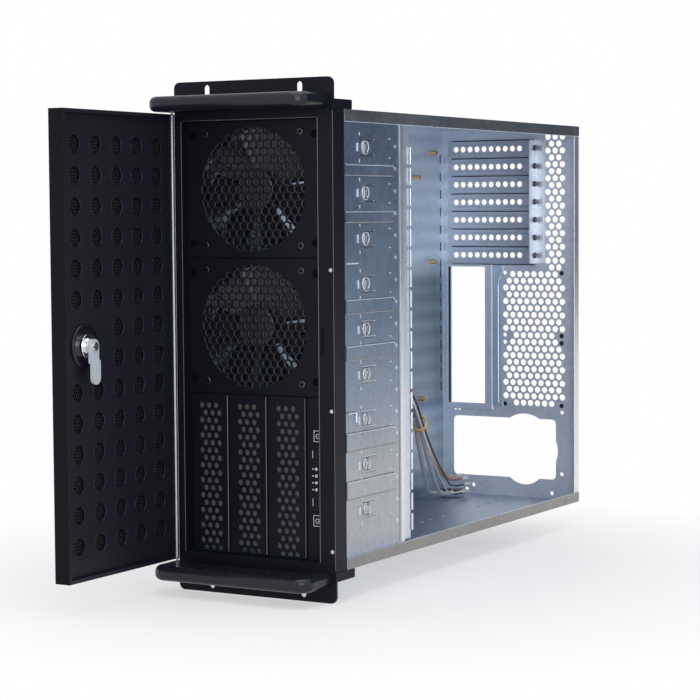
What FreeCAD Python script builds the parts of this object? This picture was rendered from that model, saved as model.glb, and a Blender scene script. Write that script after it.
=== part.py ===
import FreeCAD
import Part
import math
import os

# Empty rackmount server case, standing on one ear as it is shown.
# Millimetres. X runs up the rack height of the case, Y from front to rear,
# Z across the rack width. The working corner is the bottom plate's outer
# face, the ears' front plane and the lower ear's outer edge.

# ---- driving dimensions ----
RACK_WIDTH = 482.6
CASE_HEIGHT = 174.0
EAR_REACH = 28.8
FRAME_DEPTH = 20.0
BODY_DEPTH = 526.6
SHEET = 1.2
BEND = 1.0

# front frame and its recess
FRAME_SHEET = 1.5
RECESS_X0 = 8.0
RECESS_TOP = 17.0
RECESS_MARGIN = 8.2
RECESS_DEPTH = 8.5
LEDGE = 2.0
SIDE_LEDGE = 12.0
NOTCH_WIDTH = 26.0
NOTCH_DEPTH = 5.5
RIVET_DROP = 146.8
RIVET_RISE = 148.9
RIVET_FOOT = 19.4

# fans behind the two upper plates
FAN_MARGIN = 8.2
FAN_SIDE_GAP = 2.0
FAN_DEPTH = 25.0
FAN_WALL = 2.5
FAN_GAP = 1.2
FAN_BLADES = 7
GRILLE_MARGIN = 2.0
GRILLE_PITCH = 16.0
GRILLE_BAR = 2.0
PLATE_SCREW_INSET = 7.2

# drive bays and the narrow control strip
BAY_LENGTH = 152.2
BAY_EDGE = 2.4
BAY_ROWS = 10
BAY_BAR = 2.5
BAY_LIP = 12.0
STRIP_WIDTH = 17.6
STRIP_GAP = 0.6
STRIP_BOARD_Y = 15.5
POWER_Z = 116.2
RESET_Z = 37.4
USB_UPPER_Z = 99.2
USB_LOWER_Z = 54.6
USB_LENGTH = 13.8
LED_FIRST_Z = 85.6
LED_PITCH = 6.4
LED_COUNT = 4
BUTTON_TRAVEL = 1.5

# ears and handles
EAR_SHEET = 3.0
EAR_CORNER = 6.0
EAR_BAR_DEPTH = 35.0
EAR_BAR_WIDTH = 8.8
SLOT_PITCH_X = 101.6
SLOT_INSET = 8.75
SLOT_WIDTH = 6.8
SLOT_LENGTH = 11.0
HANDLE_X0 = -3.5
HANDLE_TOP = 5.0
HANDLE_REACH = 45.0
HANDLE_BAR = 33.0
HANDLE_THICK = 14.0
HANDLE_LEG = 19.0
HANDLE_ROUND = 5.5
HANDLE_CORNER = 14.0

# door, standing open at a right angle
DOOR_THICK = 17.0
DOOR_SHORT = 5.6
DOOR_EDGE_Y = -3.0
DOOR_CLEAR = 1.0
DOOR_RIM = 3.5
DOOR_PLATE_DEPTH = 4.5
DOOR_HOLE = 16.7
DOOR_HOLE_ROWS = 14
DOOR_HOLE_COLUMNS = 5
DOOR_END_MARGIN = 31.0
DOOR_SIDE_MARGIN = 21.4
HINGE_X = -1.0
HINGE_Y = -2.6
HINGE_RADIUS = 2.2
PIN_RADIUS = 1.2
PIN_GAP = 0.3
PIN_LENGTH = 18.0

# cam lock
LOCK_INSET = 31.9
BOSS_DIAMETER = 40.0
BARREL_DIAMETER = 23.0
CAM_X = 5.0
CAM_SHEET = 2.5
CAM_CRANK = 1.8
CAM_WIDTH = 10.0
CAM_LENGTH = 33.0

# drive cage, its cover and the wall behind it
CAGE_DEPTH = 123.4
RIM_WIDTH = 11.6
LEDGE_DROP = 9.0
LEDGE_WIDTH = 15.0
LATCH_MARGIN = 43.3
LATCH_SHIFT = 9.0
LATCH_COUNT = 9
LATCH_Y = 62.0
RIB_HEIGHT = 1.2
RIB_END_GAP = 9.4
RAIL_SLOT_START = 25.0
RAIL_SLOT_STEP = 30.0
RAIL_SLOT_END = 23.4
RAIL_NOTCH_END = 11.4
RAIL_NOTCH_LENGTH = 42.0
HOOK_DROP = 141.3
HOOK_RISE = 145.2

# side-wall holes of the tray, as (above the bottom plate, ahead of the rear panel)
WALL_HOLES = ((97, 231.4), (96, 209.4), (95.5, 179.4), (96, 100.4), (95, 71.4), (95, 50.4), (84, 13.4))

# rear panel
SLOT_COVER_COUNT = 7
SLOT_COVER_GAP = 1.92
SLOT_COVER_SHEET = 0.9
SLOT_COVER_X0 = 9.0
SLOT_VENTS = 10
SLOT_END_MARGIN = 13.0
SHELF_DROP = 52.6
IO_X0 = 12.3
IO_WIDTH = 44.45
IO_LENGTH = 158.75
IO_Z0 = 107.6
COMB_PITCH = 11.0
COMB_HOLE = 8.6
COMB_EDGE = 20.0
PSU_X0 = 15.0
PSU_EDGE = 26.5
PSU_Z0 = 18.2
PSU_LENGTH = 77.5
REAR_FAN_PITCH = 71.5
REAR_FAN_DROP = 56.4

# internal leads
CABLE_RADIUS = 2.3
LEAD_RADIUS = 1.0
LEAD_START_Y = 22.0
LEAD_END_RUN = 30.0
LEAD_SAG = 7.0

# ---- derived places ----
BODY_WIDTH = RACK_WIDTH - 2 * EAR_REACH
CENTRE_Z = RACK_WIDTH / 2
BODY_Z0 = CENTRE_Z - BODY_WIDTH / 2
BODY_Z1 = CENTRE_Z + BODY_WIDTH / 2
REAR_OUT = FRAME_DEPTH + BODY_DEPTH
REAR_IN = REAR_OUT - SHEET
RECESS_Z0 = BODY_Z0 + RECESS_MARGIN
RECESS_Z1 = BODY_Z1 - RECESS_MARGIN
RECESS_X1 = CASE_HEIGHT - RECESS_TOP
SEAT_Y = RECESS_DEPTH + SHEET
PLATE_HEIGHT = (RECESS_Z1 - RECESS_Z0 - BAY_LENGTH) / 2
FAN_X = (RECESS_X0 + RECESS_X1 - LEDGE / 2) / 2
FAN_ROOM = 2 * (FAN_X - RECESS_X0 - SIDE_LEDGE - FAN_SIDE_GAP)
FAN_SIZE = min(PLATE_HEIGHT - FAN_MARGIN, FAN_ROOM)
FAN_SCREW_PITCH = FAN_SIZE * 0.875
FAN_BORE = FAN_SIZE - 2 * FAN_WALL
FAN_HUB = FAN_SIZE / 3
GRILLE_RADIUS = FAN_SIZE / 2 - GRILLE_MARGIN
UPPER_PLATE_Z0 = RECESS_Z1 - PLATE_HEIGHT
LOWER_PLATE_Z0 = UPPER_PLATE_Z0 - PLATE_HEIGHT
FAN_UPPER_Z = UPPER_PLATE_Z0 + PLATE_HEIGHT / 2
FAN_LOWER_Z = LOWER_PLATE_Z0 + PLATE_HEIGHT / 2
BAY_Z0 = RECESS_Z0
BAY_Z1 = LOWER_PLATE_Z0
BAY_X0 = RECESS_X0 + BAY_EDGE
STRIP_X0 = RECESS_X1 - STRIP_WIDTH
BAY_WIDTH = (STRIP_X0 - STRIP_GAP - BAY_X0) / 3
BAY_HOLE_PITCH = BAY_WIDTH / 4.08
BUTTON_SPOTS = ((RECESS_X1 - 5.5, BAY_Z0 + POWER_Z), (RECESS_X1 - 6.5, BAY_Z0 + RESET_Z))
USB_SPOTS = ((RECESS_X1 - 5.1, BAY_Z0 + USB_UPPER_Z), (RECESS_X1 - 5.5, BAY_Z0 + USB_LOWER_Z))
LED_X = RECESS_X1 - 8.3
LED_HEIGHTS = [BAY_Z0 + LED_FIRST_Z - LED_PITCH * i for i in range(LED_COUNT)]
DOOR_Z0 = BODY_Z0 + DOOR_CLEAR
DOOR_Z1 = BODY_Z1 - DOOR_CLEAR
DOOR_OUT_X = -DOOR_THICK
DOOR_FREE_Y = DOOR_EDGE_Y - CASE_HEIGHT + DOOR_SHORT
DOOR_ROW_PITCH = (DOOR_Z1 - DOOR_Z0 - 2 * DOOR_END_MARGIN) / (DOOR_HOLE_ROWS - 1)
DOOR_FIRST_COLUMN_Y = DOOR_EDGE_Y - DOOR_SIDE_MARGIN
DOOR_COLUMN_PITCH = (DOOR_FIRST_COLUMN_Y - DOOR_FREE_Y - DOOR_SIDE_MARGIN) / (DOOR_HOLE_COLUMNS - 1)
LOCK_Y = DOOR_FREE_Y + LOCK_INSET
HANDLE_X1 = CASE_HEIGHT - HANDLE_TOP
LEDGE_X = CASE_HEIGHT - LEDGE_DROP
RIB_END_Y = CAGE_DEPTH - RIB_END_GAP
RAIL_FIRST_Y = FRAME_DEPTH + RAIL_SLOT_START
RAIL_SLOTS = (RAIL_FIRST_Y, RAIL_FIRST_Y + RAIL_SLOT_STEP, CAGE_DEPTH - RAIL_SLOT_END)
LATCH_PITCH = (BODY_WIDTH - 2 * LATCH_MARGIN) / (LATCH_COUNT - 1)
SLOT_SHELF_X = CASE_HEIGHT - SHELF_DROP
IO_BOTTOM_Z = BODY_Z0 + IO_Z0
IO_TOP_Z = IO_BOTTOM_Z + IO_LENGTH
SLOT_COVER_PITCH = (BODY_Z1 - IO_TOP_Z - 2 * SLOT_END_MARGIN + 9.6) / SLOT_COVER_COUNT
SLOT_COVER_WIDTH = SLOT_COVER_PITCH - SLOT_COVER_GAP
SLOT_FIRST_Z = BODY_Z1 - SLOT_END_MARGIN - SLOT_COVER_PITCH / 2
SLOT_VENT_PITCH = (SLOT_SHELF_X - 31.0) / SLOT_VENTS
PSU_X1 = CASE_HEIGHT - PSU_EDGE
PSU_BOTTOM_Z = BODY_Z0 + PSU_Z0
PSU_TOP_Z = PSU_BOTTOM_Z + PSU_LENGTH
REAR_FAN_X = CASE_HEIGHT - REAR_FAN_DROP
ORIGIN = FreeCAD.Vector(-CASE_HEIGHT / 2, -EAR_SHEET / 2, 0)
LEAD_START_Z = BODY_Z0 + 111.2

# Points of the common run, as (below the open edge, from the front, above the body's lower side).
BUNDLE_RUN = ((24, LEAD_START_Y, 111.2), (24, 56, 111.2), (23, 98, 133.2), (23, 142, 155.2), (25, 184, 155.2),
              (36, 221, 133.2), (56, 268, 111.2))
BUNDLE = [(CASE_HEIGHT - down, y, BODY_Z0 + z) for down, y, z in BUNDLE_RUN]

# Each lead: its shift within the run, its free end and its radius.
CABLES = {
    "grey_cable_1": ((0.0, 0.0), (35.0, REAR_IN - 42.4, BODY_Z0 + 7.2), CABLE_RADIUS),
    "grey_cable_2": ((-5.0, 1.6), (22.0, REAR_IN - 45.4, BODY_Z0 + 7.2), CABLE_RADIUS),
    "lead_black": ((3.9, 0.6), (46.0, REAR_IN - 35.4, BODY_Z0 + 16.2), LEAD_RADIUS),
    "lead_red": ((2.7, 3.6), (45.0, REAR_IN - 38.4, BODY_Z0 + 23.2), LEAD_RADIUS),
    "lead_yellow": ((-1.2, 4.3), (38.0, REAR_IN - 37.4, BODY_Z0 + 26.2), LEAD_RADIUS),
    "lead_white": ((2.2, -3.8), (48.0, REAR_IN - 45.4, BODY_Z0 + 9.2), LEAD_RADIUS),
}


# ---- small building blocks ----
def vec(x, y, z):
    return FreeCAD.Vector(x, y, z)


def box(x0, x1, y0, y1, z0, z1):
    return Part.makeBox(x1 - x0, y1 - y0, z1 - z0, vec(x0, y0, z0))


def rod(radius, start, end):
    axis = vec(*end) - vec(*start)
    return Part.makeCylinder(radius, axis.Length, vec(*start), axis)


def place(plane, level, a, b):
    """A point of a flat outline: plane x holds (y, z), y holds (x, z), z holds (x, y)."""
    if plane == "x":
        return vec(level, a, b)
    if plane == "y":
        return vec(a, level, b)
    return vec(a, b, level)


def normal(plane, length):
    return place(plane, length, 0, 0) if plane != "z" else vec(0, 0, length)


def rounded(plane, level, points, radii):
    """A closed wire through the points, each corner rounded by its own radius."""
    if not isinstance(radii, (list, tuple)):
        radii = [radii] * len(points)
    starts = []
    ends = []
    middles = []
    for i, (a, b) in enumerate(points):
        pa, pb = points[i - 1]
        na, nb = points[(i + 1) % len(points)]
        before = math.hypot(pa - a, pb - b)
        after = math.hypot(na - a, nb - b)
        ua = ((pa - a) / before, (pb - b) / before)
        ub = ((na - a) / after, (nb - b) / after)
        turn = math.acos(max(-1.0, min(1.0, ua[0] * ub[0] + ua[1] * ub[1])))
        if radii[i] <= 0 or turn > math.pi - 1e-6:
            starts.append((a, b))
            ends.append((a, b))
            middles.append(None)
            continue
        cut = radii[i] / math.tan(turn / 2)
        starts.append((a + ua[0] * cut, b + ua[1] * cut))
        ends.append((a + ub[0] * cut, b + ub[1] * cut))
        reach = radii[i] / math.sin(turn / 2)
        ba = ua[0] + ub[0]
        bb = ua[1] + ub[1]
        size = math.hypot(ba, bb)
        inner = (reach - radii[i]) / size
        middles.append((a + ba * inner, b + bb * inner))
    edges = []
    for i in range(len(points)):
        if middles[i]:
            arc = Part.Arc(place(plane, level, *starts[i]), place(plane, level, *middles[i]),
                           place(plane, level, *ends[i]))
            edges.append(arc.toShape())
        following = starts[(i + 1) % len(points)]
        gap = math.hypot(following[0] - ends[i][0], following[1] - ends[i][1])
        if gap > 1e-6:
            line = Part.LineSegment(place(plane, level, *ends[i]),
                                    place(plane, level, *following))
            edges.append(line.toShape())
    return Part.Wire(edges)


def corners(a0, a1, b0, b1):
    return [(a0, b0), (a1, b0), (a1, b1), (a0, b1)]


def slab(plane, level, thick, outer, radii=0.0, holes=()):
    """A flat sheet with round or shaped holes, made in one extrusion."""
    wires = [rounded(plane, level, outer, radii)]
    wires.extend(holes)
    face = Part.makeFace(wires, "Part::FaceMakerBullseye")
    return face.extrude(normal(plane, thick))


def round_hole(plane, level, a, b, radius):
    circle = Part.Circle(place(plane, level, a, b), normal(plane, 1.0), radius)
    return Part.Wire([circle.toShape()])


def even_hole(plane, level, a, b, radius, sides=6, turn=0.0):
    ring = []
    for i in range(sides + 1):
        angle = math.radians(turn) + 2 * math.pi * (i % sides) / sides
        ring.append(place(plane, level, a + radius * math.cos(angle), b + radius * math.sin(angle)))
    return Part.makePolygon(ring)


def slot_hole(plane, level, a, b, length_a, length_b):
    radius = min(length_a, length_b) / 2 - 1e-4
    return rounded(plane, level, corners(a - length_a / 2, a + length_a / 2,
                                         b - length_b / 2, b + length_b / 2), radius)


def bent(plane, level, length, path, thick, radius):
    """A folded sheet: the path is one face, the other lies to its left."""
    other = []
    sides = []
    for i in range(len(path) - 1):
        da = path[i + 1][0] - path[i][0]
        db = path[i + 1][1] - path[i][1]
        size = math.hypot(da, db)
        sides.append((da / size, db / size))
    outer_radii = [0.0]
    inner_radii = [0.0]
    first = sides[0]
    other.append((path[0][0] - first[1] * thick, path[0][1] + first[0] * thick))
    for i in range(1, len(path) - 1):
        u = sides[i - 1]
        w = sides[i]
        cross = u[0] * w[1] - u[1] * w[0]
        dot = u[0] * w[0] + u[1] * w[1]
        shift = thick * (1 - dot) / cross
        other.append((path[i][0] - u[1] * thick - u[0] * shift,
                      path[i][1] + u[0] * thick - u[1] * shift))
        outer_radii.append(radius + thick if cross > 0 else radius)
        inner_radii.append(radius if cross > 0 else radius + thick)
    last = sides[-1]
    other.append((path[-1][0] - last[1] * thick, path[-1][1] + last[0] * thick))
    outer_radii.append(0.0)
    inner_radii.append(0.0)
    points = list(path) + other[::-1]
    return slab(plane, level, length, points, outer_radii + inner_radii[::-1])


def mirrored(shape):
    """The same piece on the other side of the case."""
    return shape.mirror(vec(0, 0, CENTRE_Z), vec(0, 0, 1))


def joined(shapes):
    return shapes[0].fuse(shapes[1:]).removeSplitter()


def export(name, shape):
    moved = shape.copy()
    moved.translate(ORIGIN)
    moved.exportStep(os.path.join("parts", name + ".step"))


# ---- body shell ----
def tray():
    """Bottom plate and both side walls, folded from one sheet with top lips."""
    lip = 11.0
    path = [(CASE_HEIGHT, BODY_Z1 - lip), (CASE_HEIGHT, BODY_Z1), (0, BODY_Z1),
            (0, BODY_Z0), (CASE_HEIGHT, BODY_Z0), (CASE_HEIGHT, BODY_Z0 + lip)]
    shell = bent("y", FRAME_DEPTH, BODY_DEPTH, path, SHEET, 0.0)
    cuts = [box(CASE_HEIGHT - SHEET - BEND, CASE_HEIGHT + 1, FRAME_DEPTH - 1, CAGE_DEPTH + RIM_WIDTH + 2,
                BODY_Z0 + SHEET, BODY_Z1 - SHEET)]
    for i in range(SLOT_COVER_COUNT):
        z = SLOT_FIRST_Z - SLOT_COVER_PITCH * (i + 0.54)
        cuts.append(box(-1, SHEET + 1, REAR_IN - 6.5, REAR_IN - 3.5, z - 5, z + 5))
    for x, back in WALL_HOLES:
        y = REAR_IN - back
        cuts.append(rod(2.0, (x, y, BODY_Z0 - 1), (x, y, BODY_Z0 + SHEET + 1)))
        cuts.append(rod(2.0, (x, y, BODY_Z1 - SHEET - 1), (x, y, BODY_Z1 + 1)))
    return shell.cut(Part.makeCompound(cuts))


def comb(x0, x1, z0, z1, long_first, skip=()):
    """Six-sided vent holes in staggered rows across a window."""
    columns = int((x1 - x0) / COMB_PITCH + 0.01)
    rows = int((z1 - z0) / (COMB_PITCH * 0.866) + 0.01)
    start = (x0 + x1) / 2 - columns * COMB_PITCH / 2
    top = (z0 + z1) / 2 + rows * COMB_PITCH * 0.433
    holes = []
    for row in range(rows + 1):
        z = top - row * COMB_PITCH * 0.866
        shifted = (row % 2 == 0) != long_first
        for column in range(columns + (0 if shifted else 1)):
            x = start + COMB_PITCH * (column + (0.5 if shifted else 0.0))
            if any(math.hypot(x - a, z - b) < COMB_HOLE * 0.8 for a, b in skip):
                continue
            holes.append(even_hole("y", REAR_IN, x, z, COMB_HOLE / 2, 6, 30))
    return holes


def rear_fan_screws():
    """Screw holes of two 80 mm fans side by side on the vent field."""
    spots = []
    half = REAR_FAN_PITCH / 2
    for middle in (IO_BOTTOM_Z + 116.3, IO_BOTTOM_Z + 36.5):
        for sx in (-1, 1):
            for sz in (-1, 1):
                spots.append((REAR_FAN_X + sx * half, middle + sz * half))
    return spots


def psu_outline():
    """Power supply opening with a rounded bulge at each long side."""
    x0 = PSU_X0
    z0 = PSU_BOTTOM_Z
    z1 = PSU_TOP_Z
    wide = PSU_X1 - PSU_X0
    shape = [(x0, z0), (x0 + 0.52 * wide, z0), (x0 + 0.6 * wide, z0 - 3.2), (x0 + 0.82 * wide, z0 - 3.2),
             (x0 + 0.89 * wide, z0), (PSU_X1, z0), (PSU_X1, z1), (x0 + 0.9 * wide, z1),
             (x0 + 0.81 * wide, z1 + 5), (x0 + 0.6 * wide, z1 + 5), (x0 + 0.51 * wide, z1), (x0 + 6, z1), (x0, z1 - 3)]
    return rounded("y", REAR_IN, shape, [2, 8, 14, 14, 8, 8, 8, 8, 14, 14, 8, 1, 1])


def rear_panel():
    """Rear wall with card slots, port opening, vent fields and power supply opening."""
    half = 0.335 * SLOT_COVER_PITCH
    holes = [rounded("y", REAR_IN, corners(SLOT_COVER_X0 + 5, SLOT_SHELF_X - 9.4, z - half, z + half), 1.0)
             for z in slot_centres()]
    ports = corners(IO_X0, IO_X0 + IO_WIDTH, IO_BOTTOM_Z, IO_TOP_Z)
    holes.append(rounded("y", REAR_IN, ports, 0.8))
    spots = rear_fan_screws()
    for x, z in spots:
        holes.append(round_hole("y", REAR_IN, x, z, 2.2))
    right = CASE_HEIGHT - COMB_EDGE
    holes.extend(comb(right - 17, right, IO_TOP_Z + 4.85, BODY_Z1 - 10.8, False))
    holes.extend(comb(IO_X0 + IO_WIDTH + 27.25, right - 2, IO_BOTTOM_Z + 3.6, IO_TOP_Z - 8.15, True, spots))
    holes.append(psu_outline())
    for x, z in ((17.4, BODY_Z0 + 100.7), (right - 0.3, BODY_Z0 + 100.7), (right - 0.6, BODY_Z0 + 30),
                 (40.9, BODY_Z0 + 11.7), (32.1, BODY_Z0 + 6.3), (right - 13, BODY_Z0 + 7.4)):
        holes.append(even_hole("y", REAR_IN, x, z, 2.2))
    panel = slab("y", REAR_IN, SHEET,
                 corners(SHEET, CASE_HEIGHT - SHEET, BODY_Z0 + SHEET, BODY_Z1 - SHEET), 0.0, holes)
    lip = box(CASE_HEIGHT - SHEET, CASE_HEIGHT, REAR_IN - 11, REAR_OUT, BODY_Z0 + 11, BODY_Z1 - 11)
    frame = corners(IO_X0 - 7.3, IO_X0 + IO_WIDTH + 9.25, IO_BOTTOM_Z - 7.4, IO_TOP_Z + 3.65)
    ring = slab("y", REAR_IN - 1.5, 1.5, frame, 3.0, [rounded("y", REAR_IN - 1.5, ports, 0.8)])
    return joined([panel, lip, ring])


def slot_cover(z):
    """One blank expansion bracket with ten vent holes and a folded screw tab."""
    front = REAR_IN - SLOT_COVER_SHEET
    holes = [even_hole("y", front, SLOT_COVER_X0 + 10.6 + SLOT_VENT_PITCH * i, z, 0.1575 * SLOT_COVER_PITCH, 6, 30)
             for i in range(SLOT_VENTS)]
    half = SLOT_COVER_WIDTH / 2
    blade = slab("y", front, SLOT_COVER_SHEET, corners(SLOT_COVER_X0, SLOT_SHELF_X, z - half, z + half), 0.5, holes)
    tab = slab("x", SLOT_SHELF_X - SLOT_COVER_SHEET, SLOT_COVER_SHEET,
               corners(REAR_IN - 12, REAR_IN, z - half, z + half), [3, 0, 0, 3],
               [round_hole("x", SLOT_SHELF_X - SLOT_COVER_SHEET, REAR_IN - 7, z, 1.7)])
    return joined([blade, tab])


def slot_centres():
    return [SLOT_FIRST_Z - SLOT_COVER_PITCH * i for i in range(SLOT_COVER_COUNT)]


def slot_screw_rail():
    """Angle strip that the expansion brackets are screwed to."""
    z0 = slot_centres()[-1] - SLOT_COVER_WIDTH / 2
    z1 = slot_centres()[0] + SLOT_COVER_WIDTH / 2
    x0 = SLOT_SHELF_X
    holes = [round_hole("x", x0, REAR_IN - 7, z, 1.7) for z in slot_centres()]
    shelf = slab("x", x0, SHEET, corners(REAR_IN - 20, REAR_IN, z0, z1), [4, 0, 0, 4], holes)
    back = box(x0, x0 + 10, REAR_IN - SHEET, REAR_IN, z0, z1)
    return joined([shelf, back])


def slot_screws():
    screws = []
    top = SLOT_SHELF_X + SHEET
    for z in slot_centres():
        head = rod(3.2, (top, REAR_IN - 7, z), (top + 2.2, REAR_IN - 7, z))
        head = head.makeFillet(0.8, [head.Edges[0]])
        shank = rod(1.7, (top - 5, REAR_IN - 7, z), (top + 0.5, REAR_IN - 7, z))
        screws.append(head.fuse(shank))
    return Part.makeCompound(screws)


def standoffs():
    """Brass posts that carry the main board."""
    posts = []
    top = BODY_Z1 - 26.8
    middle = BODY_Z1 - 152.8
    low = BODY_Z0 + 115.2
    for back, z in ((26.4, top), (67.4, BODY_Z1 - 55.8), (27.4, middle), (56.4, low), (185.4, top),
                    (185.4, middle), (185.4, low), (245.4, top), (245.4, middle)):
        y = REAR_IN - back
        posts.append(rod(2.8, (SHEET, y, z), (SHEET + 6.5, y, z)).cut(
            rod(1.4, (SHEET + 1, y, z), (SHEET + 7, y, z))))
    return Part.makeCompound(posts)


# ---- drive cage ----
def latch_centres():
    first = CENTRE_Z + LATCH_PITCH * (LATCH_COUNT - 1) / 2 + LATCH_SHIFT
    return [first - LATCH_PITCH * i for i in range(LATCH_COUNT)]


def rib_bands():
    """Pressed ribs between the latches, as (lower, upper) limits."""
    pitch = LATCH_PITCH
    centres = latch_centres()
    low = centres[-1] - 0.06 * pitch
    return [(low + (centres[0] - low) * a, low + (centres[0] - low) * b) for a, b in
            ((0.042, 0.094), (0.173, 0.226), (0.421, 0.463), (0.547, 0.589), (0.795, 0.828), (0.922, 0.955))]


def cage_top():
    """Sheet over the drive cage with pressed ribs, lanced latches and its folded rear edge."""
    top = CASE_HEIGHT
    width = BODY_WIDTH - 2 * SHEET
    path = [(top, FRAME_DEPTH), (top, CAGE_DEPTH), (top - 14, CAGE_DEPTH)]
    sheet = bent("z", BODY_Z0 + SHEET, width, path, SHEET, BEND)
    ribs = []
    grooves = []
    for low, high in rib_bands():
        rib = slab("x", top - SHEET, SHEET + RIB_HEIGHT, corners(FRAME_DEPTH, RIB_END_Y, low, high), [0, 4, 4, 0])
        rims = [edge for edge in rib.Edges if edge.BoundBox.XMin > top and edge.BoundBox.YMax > FRAME_DEPTH + 1e-3]
        ribs.append(rib.makeChamfer(RIB_HEIGHT * 0.8, rims))
        grooves.append(slab("x", top - SHEET - 1, 1 + RIB_HEIGHT,
                            corners(FRAME_DEPTH - 1, RIB_END_Y - 2.5, low + 2.5, high - 2.5), [0, 2, 2, 0]))
    cuts = []
    lugs = []
    for z in latch_centres():
        cuts.append(box(top - 3, top + 3, 44.8, 46.4, z - 4, z + 4))
        lugs.append(box(top - SHEET, top + 1.0, 43.6, 44.8, z - 4, z + 4))
        boss = rod(4.6, (top - SHEET, LATCH_Y + 1.5, z), (top + 0.8, LATCH_Y + 1.5, z))
        lugs.append(boss.makeChamfer(0.5, [boss.Edges[0]]))
        for side in (-1, 1):
            cuts.append(box(top - 3, top + 6, LATCH_Y - 12, LATCH_Y + 13, z + side * 7.2 - 0.8, z + side * 7.2 + 0.8))
            cuts.append(box(top - 3, top + 6, 47.4, 49.0, z + side * 12.5 - 1.5, z + side * 12.5 + 1.5))
    pressed = joined([sheet] + ribs + lugs)
    return pressed.cut(Part.makeCompound(cuts + grooves))


def partition():
    """Wall behind the cage, folded over into a raised rim and a slotted ledge."""
    width = BODY_WIDTH - 2 * SHEET
    rim_back = CAGE_DEPTH + RIM_WIDTH
    path = [(SHEET, CAGE_DEPTH), (CASE_HEIGHT, CAGE_DEPTH), (CASE_HEIGHT, rim_back),
            (LEDGE_X, rim_back), (LEDGE_X, rim_back + LEDGE_WIDTH)]
    wall = bent("z", BODY_Z0 + SHEET, width, path, SHEET, 3 * BEND)
    cuts = []
    for z in (FAN_UPPER_Z, FAN_LOWER_Z):
        cuts.append(rod(GRILLE_RADIUS - 2, (FAN_X, CAGE_DEPTH - 1, z), (FAN_X, CAGE_DEPTH + SHEET + 1, z)))
    window = slab("y", CAGE_DEPTH - 1, SHEET + 2, corners(16, CASE_HEIGHT - 38, BAY_Z0 + 8, BAY_Z1 - 8), 4.0)
    cuts.append(window)
    passage = corners(CASE_HEIGHT - 35, CASE_HEIGHT - 12, BAY_Z0 + 121, BAY_Z0 + 155)
    cuts.append(slab("y", CAGE_DEPTH - 1, SHEET + 2, passage, 5.0))
    z = BODY_Z0 + 22
    while z < BODY_Z1 - 22:
        cuts.append(box(LEDGE_X - SHEET - 1, LEDGE_X + 1, rim_back + 4.5, rim_back + 8.0, z, z + 15))
        z += 20
    return wall.cut(Part.makeCompound(cuts))


def bay_bracket(z):
    """Side rail of the drive bays, with screw slots for the drives."""
    holes = []
    for bay in range(3):
        x = BAY_X0 + BAY_WIDTH * (bay + 0.5)
        for y in RAIL_SLOTS:
            holes.append(slot_hole("z", z, x, y, 4.0, 10.0))
    notch = corners(CASE_HEIGHT - 32, CASE_HEIGHT - 8, CAGE_DEPTH - RAIL_NOTCH_END - RAIL_NOTCH_LENGTH,
                    CAGE_DEPTH - RAIL_NOTCH_END)
    holes.append(rounded("z", z, notch, 4.0))
    top = CASE_HEIGHT - SHEET
    outline = [(SHEET, FRAME_DEPTH), (top, FRAME_DEPTH), (top, CAGE_DEPTH - SHEET),
               (CASE_HEIGHT - 14, CAGE_DEPTH - SHEET), (CASE_HEIGHT - 14, CAGE_DEPTH), (SHEET, CAGE_DEPTH)]
    return slab("z", z, SHEET, outline, [0, 0, 1.5 * BEND, 0, 0, 0], holes)


# ---- front ----
def front_frame():
    """Black sheet frame with a recess for the fan plates and drive bays."""
    x0 = RECESS_X0
    x1 = RECESS_X1
    z0 = RECESS_Z0
    z1 = RECESS_Z1
    half = NOTCH_WIDTH / 2
    outer = corners(0, CASE_HEIGHT, BODY_Z0, BODY_Z1)
    recess = [(x0, z0), (x1, z0), (x1, CENTRE_Z - half), (x1 + NOTCH_DEPTH, CENTRE_Z - half),
              (x1 + NOTCH_DEPTH, CENTRE_Z + half), (x1, CENTRE_Z + half), (x1, z1), (x0, z1)]
    face = slab("y", 0, FRAME_SHEET, outer, 1.0, [rounded("y", 0, recess, 0.0)])
    inset = FRAME_SHEET
    inner = corners(inset, CASE_HEIGHT - inset, BODY_Z0 + inset, BODY_Z1 - inset)
    skirt = slab("y", 0, FRAME_DEPTH, outer, 1.0, [rounded("y", 0, inner, 0.0)])
    well = corners(x0 - SHEET, x1 + SHEET, z0 - SHEET, z1 + SHEET)
    walls = slab("y", FRAME_SHEET - 0.2, SEAT_Y + SHEET + 0.2 - FRAME_SHEET, well, 0.0,
                 [rounded("y", FRAME_SHEET - 0.2, corners(x0, x1, z0, z1), 0.0)])
    sweep = CAM_LENGTH + 6
    walls = walls.cut(box(x1 - 1, x1 + SHEET + 1, FRAME_SHEET, SEAT_Y - 0.1,
                          CENTRE_Z - sweep, CENTRE_Z + CAM_WIDTH + 6))
    window = [(x0 + LEDGE, z0 + LEDGE), (x1 - LEDGE, z0 + LEDGE), (x1 - LEDGE, BAY_Z1), (x1 - SIDE_LEDGE, BAY_Z1),
              (x1 - SIDE_LEDGE, z1 - LEDGE), (x0 + SIDE_LEDGE, z1 - LEDGE), (x0 + SIDE_LEDGE, BAY_Z1),
              (x0 + LEDGE, BAY_Z1)]
    holes = [rounded("y", SEAT_Y, window, 0.0)]
    holes.extend(round_hole("y", SEAT_Y, x, z, 1.7) for x, z in plate_screw_spots())
    ledge = slab("y", SEAT_Y, SHEET, well, 0.0, holes)
    relief = [box(x1 - LEDGE - 1, x1, SEAT_Y - 1, SEAT_Y + SHEET + 1, z - 7, z + 7) for _, z in BUTTON_SPOTS]
    ledge = ledge.cut(Part.makeCompound(relief))
    return joined([face, skirt, walls, ledge])


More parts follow.
